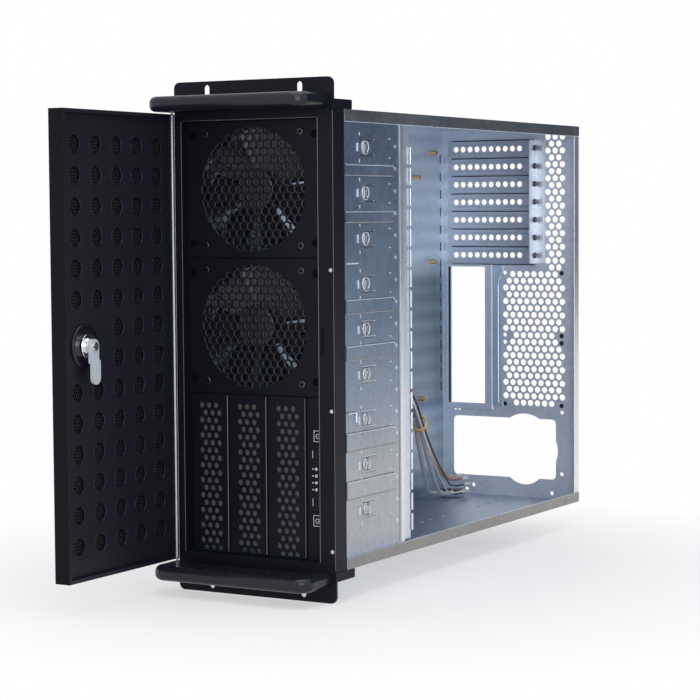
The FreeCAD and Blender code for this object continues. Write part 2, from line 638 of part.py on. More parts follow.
def plate_screw_spots():
    spots = []
    recess_middle = (RECESS_X0 + RECESS_X1) / 2
    reach = (RECESS_X1 - RECESS_X0) / 2 - PLATE_SCREW_INSET
    for middle in (FAN_UPPER_Z, FAN_LOWER_Z):
        for side in (-1, 1):
            for end in (-1, 1):
                spots.append((recess_middle + side * reach, middle + end * 0.39 * PLATE_HEIGHT))
    return spots


def fan_screw_spots():
    half = FAN_SCREW_PITCH / 2
    return [(FAN_X + a * half, z + b * half) for z in (FAN_UPPER_Z, FAN_LOWER_Z)
            for a in (-1, 1) for b in (-1, 1)]


def fan_plate(z0):
    """Recessed plate with a round grille of six-sided holes."""
    z1 = z0 + PLATE_HEIGHT
    middle = (z0 + z1) / 2
    y = RECESS_DEPTH
    row_pitch = GRILLE_PITCH * 0.866
    rows = int(GRILLE_RADIUS / row_pitch)
    size = (GRILLE_PITCH - GRILLE_BAR) / 2 / 0.866
    holes = []
    for row in range(-rows, rows + 1):
        shift = 0.5 * (row % 2)
        for column in range(-6, 7):
            a = (column + shift) * GRILLE_PITCH
            b = row * row_pitch
            if math.hypot(a, b) <= GRILLE_RADIUS - size / 2:
                holes.append(even_hole("y", y, FAN_X + a, middle + b, size, 6, 30))
    for x, z in fan_screw_spots():
        if z0 < z < z1:
            holes.append(round_hole("y", y, x, z, 2.2))
    for x, z in plate_screw_spots():
        if z0 < z < z1:
            holes.append(round_hole("y", y, x, z, 1.7))
    gap = 0.15
    return slab("y", y, SHEET, corners(RECESS_X0 + gap, RECESS_X1 - gap, z0 + gap, z1 - gap), 0.8, holes)


def screws(spots, head, shank, reach):
    pieces = []
    for x, z in spots:
        cap = rod(head, (x, RECESS_DEPTH - 1.6, z), (x, RECESS_DEPTH, z))
        cap = cap.makeFillet(0.7, [cap.Edges[2]])
        pieces.append(cap.fuse(rod(shank, (x, RECESS_DEPTH - 0.5, z), (x, RECESS_DEPTH + reach, z))))
    return Part.makeCompound(pieces)


def fan_frame(z):
    """Square fan housing with a round duct, four spokes and the motor seat."""
    half = FAN_SIZE / 2
    y = SEAT_Y
    outer = corners(FAN_X - half, FAN_X + half, z - half, z + half)
    bolt = FAN_SCREW_PITCH / 2
    holes = [round_hole("y", y, FAN_X, z, FAN_BORE / 2)]
    holes.extend(round_hole("y", y, FAN_X + a * bolt, z + b * bolt, 2.0) for a in (-1, 1) for b in (-1, 1))
    shell = slab("y", y, FAN_DEPTH, outer, 5.0, holes)
    waist = []
    for a, b in ((1, 0), (-1, 0), (0, 1), (0, -1)):
        ca = FAN_X + a * half
        cb = z + b * half
        wide = 38.0
        da = 1.0 if a else wide
        db = 1.0 if b else wide
        waist.append(box(ca - da, ca + da, y + 4, y + FAN_DEPTH - 4, cb - db, cb + db))
    shell = shell.cut(Part.makeCompound(waist))
    back = y + FAN_DEPTH - 3.5
    seat = rod(FAN_HUB / 2, (FAN_X, back, z), (FAN_X, back + 3.5, z))
    arms = []
    for i in range(4):
        arm = box(FAN_X, FAN_X + FAN_BORE / 2 + 0.8, back, back + 3.5, z - 2.5, z + 2.5)
        arm.rotate(vec(FAN_X, 0, z), vec(0, 1, 0), 45 + 90 * i)
        arms.append(arm)
    frame = joined([shell, seat] + arms)
    return frame.cut(rod(PIN_RADIUS + PIN_GAP, (FAN_X, back - 1, z), (FAN_X, back + 3, z)))


def fan_rotor(z):
    """Hub with seven tilted blades and its shaft."""
    y = SEAT_Y
    hub = rod(FAN_HUB / 2, (FAN_X, y + 1.5, z), (FAN_X, y + FAN_DEPTH - 4.6, z))
    hub = hub.makeFillet(2.0, [hub.Edges[2]])
    shaft = rod(PIN_RADIUS, (FAN_X, y + 10, z), (FAN_X, y + FAN_DEPTH - 1.2, z))
    tip = FAN_BORE / 2 - FAN_GAP
    root = FAN_HUB / 2 - 1.5
    spread = math.radians(19)
    blades = []
    for i in range(FAN_BLADES):
        ring = []
        for radius, angle in ((root, -spread), (tip, -spread), (tip, 0), (tip, spread), (root, spread), (root, 0)):
            ring.append(vec(FAN_X + radius * math.cos(angle), y + 10.6, z + radius * math.sin(angle)))
        edges = [Part.LineSegment(ring[0], ring[1]), Part.Arc(ring[1], ring[2], ring[3]),
                 Part.LineSegment(ring[3], ring[4]), Part.Arc(ring[4], ring[5], ring[0])]
        outline = Part.Wire([edge.toShape() for edge in edges])
        blade = Part.Face(outline).extrude(vec(0, 1.4, 0))
        blade.rotate(vec(FAN_X, y + 11.3, z), vec(1, 0, 0), 28)
        blade.rotate(vec(FAN_X, 0, z), vec(0, 1, 0), 360.0 / FAN_BLADES * i + 12)
        blades.append(blade)
    return hub.fuse([shaft] + blades)


def bay_cover(index):
    """Perforated blank over one drive bay, with lips that slide into it."""
    x0 = BAY_X0 + BAY_WIDTH * index + 0.2
    x1 = x0 + BAY_WIDTH - 0.4
    z0 = BAY_Z0 + 0.2
    z1 = BAY_Z1 - 0.2
    y = RECESS_DEPTH
    holes = []
    for row in range(BAY_ROWS):
        z = (z0 + z1) / 2 + (row - (BAY_ROWS - 1) / 2) * BAY_LENGTH / 11.6
        shift = BAY_HOLE_PITCH * (0.25 if row % 2 else -0.25)
        for column in (-1, 0, 1):
            holes.append(even_hole("y", y, (x0 + x1) / 2 - 1.5 + shift + column * BAY_HOLE_PITCH, z,
                                   (BAY_HOLE_PITCH - BAY_BAR) / 2, 6, 30))
    plate = slab("y", y, SHEET, corners(x0, x1, z0, z1), 0.5, holes)
    lips = [box(x0, x0 + 0.9, y + SHEET, y + BAY_LIP, z0 + 12, z1 - 12),
            box(x1 - 0.9, x1, y + SHEET, y + BAY_LIP, z0 + 12, z1 - 12)]
    rib = box(x1 - 1.2, x1, y - 1.4, y, z0, z1)
    return joined([plate, rib] + lips)


def control_strip():
    """Narrow plate beside the bays with the switches, lights and ports."""
    y = RECESS_DEPTH
    holes = [round_hole("y", y, x, z, 3.8) for x, z in BUTTON_SPOTS]
    holes.extend(round_hole("y", y, LED_X, z, 1.5) for z in LED_HEIGHTS)
    half = USB_LENGTH / 2
    holes.extend(rounded("y", y, corners(x - 2.8, x + 2.8, z - half, z + half), 0.0) for x, z in USB_SPOTS)
    outer = corners(STRIP_X0, RECESS_X1 - 0.15, BAY_Z0 + 0.2, BAY_Z1 - 0.2)
    return slab("y", y, SHEET, outer, 0.5, holes)


def control_board():
    """Small circuit board behind the strip, with the header the leads leave from."""
    x0 = RECESS_X1 - 14
    x1 = RECESS_X1 - 2.4
    behind = STRIP_BOARD_Y + 1.6
    board = box(x0, x1, STRIP_BOARD_Y, behind, BAY_Z0 + RESET_Z - 8.4, BAY_Z0 + POWER_Z + 8.8)
    header = box(x0 - 0.5, x1 + 2.9, behind, LEAD_START_Y, LEAD_START_Z - 8, LEAD_START_Z + 8)
    switches = [box(x - 3, x + 3, STRIP_BOARD_Y - 1.2, STRIP_BOARD_Y, z - 3, z + 3) for x, z in BUTTON_SPOTS]
    return joined([board, header] + switches)


def usb_ports():
    pieces = []
    half = USB_LENGTH / 2
    for x, z in USB_SPOTS:
        shell = box(x - 2.8, x + 2.8, RECESS_DEPTH - 0.4, STRIP_BOARD_Y, z - half, z + half)
        mouth = box(x - 2.2, x + 2.2, RECESS_DEPTH - 1, STRIP_BOARD_Y - 1.5, z - half + 0.7, z + half - 0.7)
        tongue = box(x - 1.9, x - 0.1, RECESS_DEPTH + 0.6, STRIP_BOARD_Y - 1.4, z - half + 1.7, z + half - 1.7)
        pieces.append(shell.cut(mouth).fuse(tongue))
    return Part.makeCompound(pieces)


def leds():
    lamps = []
    for z in LED_HEIGHTS:
        body = rod(1.5, (LED_X, RECESS_DEPTH - 0.5, z), (LED_X, STRIP_BOARD_Y, z))
        lamps.append(body.makeFillet(0.5, [body.Edges[2]]))
    return Part.makeCompound(lamps)


def push_button(spot):
    x, z = spot
    y = RECESS_DEPTH
    cap = rod(3.5, (x, y - 1.2, z), (x, y + SHEET + 1.5, z))
    cap = cap.makeFillet(0.5, [cap.Edges[2]])
    collar = rod(4.6, (x, y + SHEET + 0.3, z), (x, y + SHEET + 1.5, z))
    stem = rod(1.5, (x, y + SHEET + 1, z), (x, STRIP_BOARD_Y - 1.2 - BUTTON_TRAVEL - 0.3, z))
    return joined([cap, collar, stem])


def frame_rivets():
    pins = []
    for z in (BODY_Z1 - RIVET_DROP, BODY_Z0 + RIVET_RISE, BODY_Z0 + RIVET_FOOT):
        pins.append(rod(1.8, (CASE_HEIGHT - 3.2, -0.6, z), (CASE_HEIGHT - 3.2, 0, z)))
    return Part.makeCompound(pins)


# ---- ears and handles ----
def ear():
    """Rack ear with two open-ended fixing slots and its thick side bar."""
    z1 = RACK_WIDTH
    middle = CASE_HEIGHT / 2 + 0.5
    slots = [slot_hole("y", 0, middle + side * SLOT_PITCH_X / 2, z1 - SLOT_INSET, SLOT_WIDTH, SLOT_LENGTH)
             for side in (-1, 1)]
    plate = slab("y", 0, EAR_SHEET, corners(0, CASE_HEIGHT, BODY_Z1, z1), [0, 0, EAR_CORNER, EAR_CORNER], slots)
    bar = box(0, CASE_HEIGHT, EAR_SHEET, EAR_BAR_DEPTH, BODY_Z1, BODY_Z1 + EAR_BAR_WIDTH)
    long_edges = [edge for edge in bar.Edges if abs(edge.BoundBox.YMin - EAR_BAR_DEPTH) < 1e-6
                  and edge.BoundBox.XLength > 1]
    bar = bar.makeFillet(1.5, long_edges)
    return joined([plate, bar])


def handle():
    """Broad carrying bow in front of the ear, with a finger gap behind its bar."""
    x0 = HANDLE_X0
    x1 = HANDLE_X1
    inner_y = -(HANDLE_REACH - HANDLE_BAR)
    outline = [(x0, 0), (x0, -HANDLE_REACH), (x1, -HANDLE_REACH), (x1, 0), (x1 - HANDLE_LEG, 0),
               (x1 - HANDLE_LEG, inner_y), (x0 + HANDLE_LEG, inner_y), (x0 + HANDLE_LEG, 0)]
    bow = slab("z", BODY_Z1, HANDLE_THICK, outline,
               [0, HANDLE_CORNER, HANDLE_CORNER, 0, 0, 5.0, 5.0, 0])
    rims = []
    for edge in bow.Edges:
        limits = edge.BoundBox
        level = limits.ZLength < 1e-6
        outside = (limits.YMax < inner_y - 1 or limits.XMax < x0 + 1 or limits.XMin > x1 - 1
                   or limits.YMin < inner_y - 5)
        flat_end = limits.YMin > -1e-6
        if level and outside and not flat_end:
            rims.append(edge)
    bow = bow.makeFillet(HANDLE_ROUND, rims)
    bore = rod(PIN_RADIUS + PIN_GAP, (HINGE_X, HINGE_Y, BODY_Z1 - 1), (HINGE_X, HINGE_Y, BODY_Z1 + 9))
    return bow.cut(bore)


# ---- door ----
def door_hole_spots():
    """Hole centres as (y, z), leaving room for the lock near the free edge."""
    spots = []
    top = CENTRE_Z + DOOR_ROW_PITCH * (DOOR_HOLE_ROWS - 1) / 2
    for row in range(DOOR_HOLE_ROWS):
        for column in range(DOOR_HOLE_COLUMNS):
            if row in (DOOR_HOLE_ROWS // 2 - 1, DOOR_HOLE_ROWS // 2) and column >= DOOR_HOLE_COLUMNS - 2:
                continue
            spots.append((DOOR_FIRST_COLUMN_Y - DOOR_COLUMN_PITCH * column, top - DOOR_ROW_PITCH * row))
    return spots


def door_skin():
    """Outer pan of the door with its rim, vent slots and hinge knuckle."""
    out = DOOR_OUT_X
    y0 = DOOR_FREE_Y
    y1 = DOOR_EDGE_Y
    pan = box(out, 0, y0, y1, DOOR_Z0, DOOR_Z1)
    upright = [edge for edge in pan.Edges if edge.BoundBox.ZLength > 10 and edge.BoundBox.XMax < out + 1]
    pan = pan.makeFillet(2.0, upright)
    hollow = box(out + SHEET, -SHEET, y0 + SHEET, y1 - SHEET, DOOR_Z0 + SHEET, DOOR_Z1 - SHEET)
    mouth = box(-SHEET - 1, 1, y0 + DOOR_RIM, y1 - DOOR_RIM, DOOR_Z0 + DOOR_RIM, DOOR_Z1 - DOOR_RIM)
    cuts = [hollow, mouth, rod(9.0, (out - 1, LOCK_Y, CENTRE_Z), (out + 3, LOCK_Y, CENTRE_Z))]
    top = CENTRE_Z + DOOR_ROW_PITCH * (DOOR_HOLE_ROWS - 1) / 2
    first = DOOR_FIRST_COLUMN_Y + DOOR_HOLE / 2
    last = DOOR_FIRST_COLUMN_Y - DOOR_COLUMN_PITCH * (DOOR_HOLE_COLUMNS - 1) - DOOR_HOLE / 2
    for row in range(DOOR_HOLE_ROWS):
        middle = row in (DOOR_HOLE_ROWS // 2 - 1, DOOR_HOLE_ROWS // 2)
        end = last + 2 * DOOR_COLUMN_PITCH if middle else last
        z = top - DOOR_ROW_PITCH * row
        cuts.append(slab("x", out - 1, SHEET + 2, corners(end, first, z - 5, z + 5), 4.9))
    pan = pan.cut(Part.makeCompound(cuts))
    knuckle = rod(HINGE_RADIUS, (HINGE_X, HINGE_Y, DOOR_Z0), (HINGE_X, HINGE_Y, DOOR_Z1))
    bore = rod(PIN_RADIUS, (HINGE_X, HINGE_Y, DOOR_Z0 - 1), (HINGE_X, HINGE_Y, DOOR_Z1 + 1))
    return joined([pan, knuckle]).cut(bore)


def door_plate():
    """Inner plate with its grid of round holes."""
    x = -DOOR_PLATE_DEPTH - SHEET
    holes = [even_hole("x", x, y, z, DOOR_HOLE / 2 * 1.02, 8, 22.5) for y, z in door_hole_spots()]
    holes.append(round_hole("x", x, LOCK_Y, CENTRE_Z, 9.0))
    outer = corners(DOOR_FREE_Y + SHEET, DOOR_EDGE_Y - SHEET, DOOR_Z0 + SHEET, DOOR_Z1 - SHEET)
    return slab("x", x, SHEET, outer, 0.0, holes)


def door_mesh():
    """Dust filter sheet behind the holes."""
    thick = 2.0
    x = -DOOR_PLATE_DEPTH - SHEET - thick
    outer = corners(DOOR_FREE_Y + SHEET + 2, DOOR_EDGE_Y - SHEET - 2, DOOR_Z0 + SHEET + 2, DOOR_Z1 - SHEET - 2)
    return slab("x", x, thick, outer, 2.0, [round_hole("x", x, LOCK_Y, CENTRE_Z, 9.0)])


def hinge_pins():
    low = rod(PIN_RADIUS, (HINGE_X, HINGE_Y, DOOR_Z0 - 7), (HINGE_X, HINGE_Y, DOOR_Z0 + PIN_LENGTH - 7))
    return Part.makeCompound([low, mirrored(low)])


def lock_boss():
    """Dark cup round the lock on the inner plate."""
    x = -DOOR_PLATE_DEPTH
    ring = rod(BOSS_DIAMETER / 2, (x, LOCK_Y, CENTRE_Z), (x + 3.0, LOCK_Y, CENTRE_Z))
    ring = ring.makeFillet(1.5, [ring.Edges[0]])
    hole = rod(BARREL_DIAMETER / 2, (x - 1, LOCK_Y, CENTRE_Z), (x + 5, LOCK_Y, CENTRE_Z))
    cup = rod(BOSS_DIAMETER / 2 - 3, (x + 1.2, LOCK_Y, CENTRE_Z), (x + 5, LOCK_Y, CENTRE_Z))
    return ring.cut(Part.makeCompound([hole, cup]))


def lock_barrel():
    """Key cylinder through the door with its nut on the inside."""
    centre = (LOCK_Y, CENTRE_Z)
    cap = rod(BARREL_DIAMETER / 2 + 1.5, (DOOR_OUT_X - 2, *centre), (DOOR_OUT_X, *centre))
    cap = cap.makeFillet(0.8, [cap.Edges[2]])
    body = rod(9.0, (DOOR_OUT_X - 1, *centre), (-DOOR_PLATE_DEPTH, *centre))
    nut = rod(BARREL_DIAMETER / 2, (-DOOR_PLATE_DEPTH, *centre), (CAM_X - 3.3, *centre))
    neck = rod(BARREL_DIAMETER / 2 - 3.5, (-DOOR_PLATE_DEPTH, *centre), (CAM_X - PIN_GAP, *centre))
    bore = rod(3.3, (-8, *centre), (CAM_X + 1, *centre))
    return joined([cap, body, nut, neck]).cut(bore)


def lock_cam():
    """Steel tongue on the lock spindle, cranked outwards and rounded at its tip."""
    half = CAM_WIDTH / 2
    z = CENTRE_Z
    path = [(CAM_X, z + 6.5), (CAM_X, z - 11), (CAM_X + CAM_CRANK, z - 16), (CAM_X + CAM_CRANK, z - CAM_LENGTH)]
    strap = bent("y", LOCK_Y - half, CAM_WIDTH, path, CAM_SHEET, 1.0)
    outline = slab("x", CAM_X - 1, CAM_SHEET + CAM_CRANK + 2,
                   corners(LOCK_Y - half, LOCK_Y + half, z - CAM_LENGTH, z + 6.5), half - 0.01)
    spindle = rod(3.0, (-7.5, LOCK_Y, z), (CAM_X + 1, LOCK_Y, z))
    return joined([strap.common(outline), spindle])


def cam_screw():
    x = CAM_X + CAM_SHEET
    head = rod(4.0, (x, LOCK_Y, CENTRE_Z), (x + 1.9, LOCK_Y, CENTRE_Z))
    head = head.makeFillet(0.7, [head.Edges[0]])
    slot = box(x + 1.2, x + 3, LOCK_Y - 5, LOCK_Y + 5, CENTRE_Z - 0.5, CENTRE_Z + 0.5)
    return head.cut(slot)


# ---- leads inside the case ----
def hook_wires():
    """Two short wire hooks on the cage top."""
    x = CASE_HEIGHT + 1.0
    high = BODY_Z1 - HOOK_DROP
    low = BODY_Z0 + HOOK_RISE
    upper = rod(1.0, (x, FRAME_DEPTH, high), (x, FRAME_DEPTH + 22, high))
    lower = rod(1.0, (x, FRAME_DEPTH, low), (x, FRAME_DEPTH + 18, low))
    turn = rod(1.0, (x, FRAME_DEPTH + 17.5, low + 0.5), (x, FRAME_DEPTH + 17.5, low - 9.5))
    return Part.makeCompound([upper, joined([lower, turn])])


def lead_route(offset, end):
    """Centre line of one lead: header, wall opening, tie, and its free end."""
    dx, dz = offset
    route = [vec(x + dx, y, z + dz) for x, y, z in BUNDLE]
    tie = route[-1]
    last = vec(end[0], end[1] - LEAD_END_RUN, end[2])
    runs = 5
    for i in range(1, runs + 1):
        s = i / runs
        point = tie + (last - tie) * s
        point.z -= LEAD_SAG * 4 * s * (1 - s)
        route.append(point)
    route.append(vec(*end))
    return route


def tube(route, radius):
    """A round lead along straight runs joined by tangent arcs."""
    edges = []
    start = route[0]
    length = 0.0
    tightest = 1e9
    for i in range(1, len(route) - 1):
        before = route[i - 1] - route[i]
        after = route[i + 1] - route[i]
        half = math.pi / 2 - before.getAngle(after) / 2
        cut = 0.45 * min(before.Length, after.Length)
        bend = cut / math.tan(half)
        tightest = min(tightest, bend)
        before.normalize()
        after.normalize()
        enter = route[i] + before * cut
        leave = route[i] + after * cut
        inward = before + after
        inward.normalize()
        middle = route[i] + inward * (bend / math.cos(half) - bend)
        edges.append(Part.LineSegment(start, enter).toShape())
        edges.append(Part.Arc(enter, middle, leave).toShape())
        length += (enter - start).Length + bend * 2 * half
        start = leave
    edges.append(Part.LineSegment(start, route[-1]).toShape())
    length += (route[-1] - start).Length
    spine = Part.Wire(edges)
    circle = Part.Wire([Part.Circle(route[0], route[1] - route[0], radius).toShape()])
    solid = spine.makePipeShell([circle], True, True)
    ratio = solid.Volume / (math.pi * radius ** 2 * length)
    print("lead r %.1f length %.0f mm tightest bend %.0f mm volume ratio %.3f"
          % (radius, length, tightest, ratio))
    return solid


def plug(end, width, thick, length):
    x, y, z = end
    body = box(x - width / 2, x + width / 2, y, y + length, z - thick / 2, z + thick / 2)
    return body.makeFillet(0.6, [edge for edge in body.Edges if edge.BoundBox.YLength > 1])


def cable_tie():
    """Soft band looped round the bundle."""
    centre = vec(*BUNDLE[-1]) + vec(-0.6, 0, 0.6)
    along = vec(*BUNDLE[-1]) - vec(*BUNDLE[-2])
    along.normalize()
    outer = Part.makeCylinder(8.8, 5.0, centre - along * 2.5, along)
    inner = Part.makeCylinder(7.4, 7.0, centre - along * 3.5, along)
    return outer.cut(inner)


def cable_sleeve():
    """Black wrap over the second grey cable just before the tie."""
    dx, dz = CABLES["grey_cable_2"][0]
    shift = vec(dx, 0, dz)
    a = vec(*BUNDLE[-2]) + shift
    b = vec(*BUNDLE[-1]) + shift
    start = a + (b - a) * 0.47
    along = b - a
    along.normalize()
    outer = Part.makeCylinder(CABLE_RADIUS + 0.5, 3.2, start, along)
    inner = Part.makeCylinder(CABLE_RADIUS, 5.2, start - along, along)
    return outer.cut(inner)


def build():
    os.makedirs("parts", exist_ok=True)
    export("tray", tray())
    export("rear_panel", rear_panel())
    for i, z in enumerate(slot_centres()):
        export("slot_cover_%d" % (i + 1), slot_cover(z))
    export("slot_screw_rail", slot_screw_rail())
    export("slot_screws", slot_screws())
    export("standoffs", standoffs())
    export("cage_top", cage_top())
    export("partition", partition())
    export("bay_bracket_upper", bay_bracket(BAY_Z1))
    export("bay_bracket_lower", bay_bracket(BAY_Z0 - SHEET))
    export("front_frame", front_frame())
    export("frame_rivets", frame_rivets())
    export("fan_plate_upper", fan_plate(UPPER_PLATE_Z0))
    export("fan_plate_lower", fan_plate(LOWER_PLATE_Z0))
    export("fan_screws", screws(fan_screw_spots(), 3.5, 2.0, 14))
    export("plate_screws", screws(plate_screw_spots(), 3.4, 1.7, 5))
    for name, z in (("upper", FAN_UPPER_Z), ("lower", FAN_LOWER_Z)):
        export("fan_frame_" + name, fan_frame(z))
        export("fan_rotor_" + name, fan_rotor(z))
    for i in range(3):
        export("bay_cover_%d" % (i + 1), bay_cover(i))
    export("control_strip", control_strip())
    export("control_board", control_board())
    export("usb_ports", usb_ports())
    export("leds", leds())
    export("power_button", push_button(BUTTON_SPOTS[0]))
    export("reset_button", push_button(BUTTON_SPOTS[1]))
    export("ear_upper", ear())
    export("ear_lower", mirrored(ear()))
    export("handle_upper", handle())
    export("handle_lower", mirrored(handle()))
    export("door_skin", door_skin())
    export("door_plate", door_plate())
    export("door_mesh", door_mesh())
    export("hinge_pins", hinge_pins())
    export("lock_boss", lock_boss())
    export("lock_barrel", lock_barrel())
    export("lock_cam", lock_cam())
    export("cam_screw", cam_screw())
    export("hook_wires", hook_wires())
    for name, (offset, end, radius) in CABLES.items():
        export(name, tube(lead_route(offset, end), radius))
    export("cable_plugs", Part.makeCompound([plug(CABLES[n][1], 10, 5.6, 16)
                                             for n in ("grey_cable_1", "grey_cable_2")]))
    export("lead_plugs", Part.makeCompound([plug(end, 5.2, 2.6, 13) for name, (offset, end, radius)
                                            in CABLES.items() if name.startswith("lead")]))
    export("cable_tie", cable_tie())
    export("cable_sleeve", cable_sleeve())


build()
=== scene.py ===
import math

import bpy
from mathutils import Matrix, Vector


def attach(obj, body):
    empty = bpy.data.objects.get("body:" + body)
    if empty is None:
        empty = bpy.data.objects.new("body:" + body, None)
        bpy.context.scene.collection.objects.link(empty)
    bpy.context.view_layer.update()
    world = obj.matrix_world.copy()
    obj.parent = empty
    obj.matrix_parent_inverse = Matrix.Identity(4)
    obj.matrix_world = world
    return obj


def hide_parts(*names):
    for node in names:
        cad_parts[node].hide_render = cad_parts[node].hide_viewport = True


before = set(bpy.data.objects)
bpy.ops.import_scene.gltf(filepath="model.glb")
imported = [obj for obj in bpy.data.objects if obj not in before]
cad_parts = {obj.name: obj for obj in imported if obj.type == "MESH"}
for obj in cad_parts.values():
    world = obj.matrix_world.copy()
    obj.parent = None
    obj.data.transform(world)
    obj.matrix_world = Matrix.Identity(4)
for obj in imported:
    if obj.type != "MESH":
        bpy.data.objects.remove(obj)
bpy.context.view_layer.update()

# Empty rackmount server case: the looks. Working millimetres run as in the part's source: X up the rack
# height from the bottom plate, Y from the ears' front plane to the rear, Z from the lower ear's edge.
CASE_HEIGHT = 174.0
RACK_WIDTH = 482.6
BODY_WIDTH = 425.0
BODY_END = 546.6
SHEET = 1.2
EAR_SHEET = 3.0
RECESS_X0 = 8.0
RECESS_X1 = 157.0
RECESS_DEPTH = 8.5
RECESS_MARGIN = 8.2
CAGE_DEPTH = 123.4
END_MARGIN = 12.0

CENTRE_Z = RACK_WIDTH / 2
BODY_Z0 = CENTRE_Z - BODY_WIDTH / 2
BODY_Z1 = CENTRE_Z + BODY_WIDTH / 2
REAR_IN = BODY_END - SHEET
RECESS_Z0 = BODY_Z0 + RECESS_MARGIN
RECESS_Z1 = BODY_Z1 - RECESS_MARGIN
PLATE_HEIGHT = 128.2
UPPER_PLATE_Z0 = RECESS_Z1 - PLATE_HEIGHT
LOWER_PLATE_Z0 = UPPER_PLATE_Z0 - PLATE_HEIGHT
BAY_X0 = 10.4
BAY_WIDTH = 42.8
FAN_X = 82.0


def at(x, y, z):
    """Working millimetres to the row frame's metres."""
    return Vector((x - CASE_HEIGHT / 2, y - EAR_SHEET / 2, z)) / 1000


# ---- materials ----
class Link:
    """A value inside a material, which Python's operators build on."""

    def __init__(self, finish, socket):
        self.finish = finish
        self.socket = socket

    def _math(self, operation, first, second):
        return self.finish.node("ShaderNodeMath", {"operation": operation}, {0: first, 1: second})

    def __add__(self, other):
        return self._math("ADD", self, other)

    __radd__ = __add__

    def __sub__(self, other):
        return self._math("SUBTRACT", self, other)

    def __rsub__(self, other):
        return self._math("SUBTRACT", other, self)

    def __mul__(self, other):
        return self._math("MULTIPLY", self, other)

    __rmul__ = __mul__

    def __truediv__(self, other):
        return self._math("DIVIDE", self, other)

    def __rtruediv__(self, other):
        return self._math("DIVIDE", other, self)

    def __pow__(self, other):
        return self._math("POWER", self, other)


class Finish:
    """One material: a shader whose fixed values are set at once and whose varying ones are linked."""

    def __init__(self, name, fixed):
        self.material = bpy.data.materials.new(name)
        self.material.use_nodes = True
        self.tree = self.material.node_tree
        self.shader = next(n for n in self.tree.nodes if n.type == "BSDF_PRINCIPLED")
        self.feed(self.shader, fixed)

    def feed(self, node, values):
        for key, value in values.items():
            socket = node.inputs[key]
            if isinstance(value, Link):
                self.tree.links.new(value.socket, socket)
            elif isinstance(value, (tuple, list)) and len(value) == 3 and socket.type == "RGBA":
                socket.default_value = (*value, 1.0)
            else:
                socket.default_value = value

    def node(self, kind, settings, values, output=0):
        made = self.tree.nodes.new(kind)
        for key, value in settings.items():
            if key == "stops":
                ramp = made.color_ramp
                while len(ramp.elements) < len(value):
                    ramp.elements.new(0.5)
                for element, (place, shade) in zip(ramp.elements, value):
                    element.position = place
                    element.color = (*shade, 1.0) if isinstance(shade, tuple) else (shade, shade, shade, 1.0)
            else:
                setattr(made, key, value)
        self.feed(made, values)
        return Link(self, made.outputs[output])

    def place(self):
        return self.node("ShaderNodeTexCoord", {}, {}, 3)

    def axis(self, which):
        return self.node("ShaderNodeSeparateXYZ", {}, {"Vector": self.place()}, which)

    def noise(self, scale, detail=3.0, rough=0.5, stretch=(1, 1, 1)):
        spot = self.node("ShaderNodeMapping", {}, {"Vector": self.place(), "Scale": stretch})
        return self.node("ShaderNodeTexNoise", {}, {"Vector": spot, "Scale": scale, "Detail": detail,
                                                    "Roughness": rough})

    def mix(self, factor, low, high):
        return self.node("ShaderNodeMix", {"data_type": "RGBA"}, {0: factor, 6: low, 7: high}, 2)

    def bump(self, height, strength, distance):
        return self.node("ShaderNodeBump", {}, {"Height": height, "Strength": strength, "Distance": distance})

    def vary(self, values):
        self.feed(self.shader, values)
        return self.material


def sheet_steel(name, tint, shadow, rough, reflection_tones=None, metallic=0.85, reflection_bands=0.0):
    """Zinc-coated sheet: faint crystal mottling, drawn grain and uneven gloss.

    Painted reflections and shade run up the rack width as colour stops, and painted streak reflections run
    across it as a sine, on all but the case's outer face at x = 0.
    """
    look = Finish(name, {"Metallic": metallic})
    cloud = look.noise(9.0, 4.0, 0.6)
    grain = look.noise(120.0, 2.0, 0.5, (0.3, 2.5, 0.3))
    flake = look.node("ShaderNodeTexVoronoi", {"feature": "F1"}, {"Vector": look.place(), "Scale": 260.0}, 1)
    speck = look.node("ShaderNodeSeparateColor", {}, {"Color": flake})
    blend = cloud * 0.6 + grain * 0.25 + speck * 0.15
    shade = look.node("ShaderNodeMapRange", {}, {"Value": blend, "From Min": 0.32, "From Max": 0.68})
    inside = look.node("ShaderNodeMapRange", {}, {"Value": look.axis(0), "From Min": at(0.4, 0, 0).x,
                                                  "From Max": at(0.8, 0, 0).x})
    # Painted streak reflections: brightness rises and falls across the rack width at the card slot pitch.
    if reflection_bands:
        wave = look.node("ShaderNodeMath", {"operation": "SINE"}, {0: look.axis(2) * (2 * math.pi / 0.02032)})
        shade = shade + wave * inside * reflection_bands
    colour = look.mix(shade, shadow, tint)
    # Painted reflections and shade: the colour is multiplied by stops that run up the rack width.
    if reflection_tones:
        run = look.node("ShaderNodeMapRange", {}, {"Value": look.axis(2), "From Min": BODY_Z0 / 1000,
                                                   "From Max": BODY_Z1 / 1000})
        tone = look.node("ShaderNodeValToRGB", {"stops": reflection_tones}, {"Fac": run})
        colour = look.node("ShaderNodeMix", {"data_type": "RGBA", "blend_type": "MULTIPLY"},
                           {0: inside, 6: colour, 7: tone}, 2)
    return look.vary({
        "Base Color": colour,
        "Roughness": rough + 0.16 * cloud + 0.05 * speck,
        "Normal": look.bump(grain * 0.5 + cloud * 0.5, 0.12, 0.0004),
    })


def powder_coat(name, tint, rough, grit, gloss=0.36):
    """Baked black coating with a fine even grit and a little uneven gloss."""
    look = Finish(name, {"Specular IOR Level": gloss})
    fine = look.noise(1400.0, 2.0, 0.55)
    wide = look.noise(14.0, 3.0, 0.5)
    lighter = tuple(c * 1.55 for c in tint)
    return look.vary({
        "Base Color": look.mix(wide * 0.6 + fine * 0.4, tint, lighter),
        "Roughness": rough + 0.12 * wide - 0.06 * fine,
        "Normal": look.bump(fine, grit, 0.0002),
    })


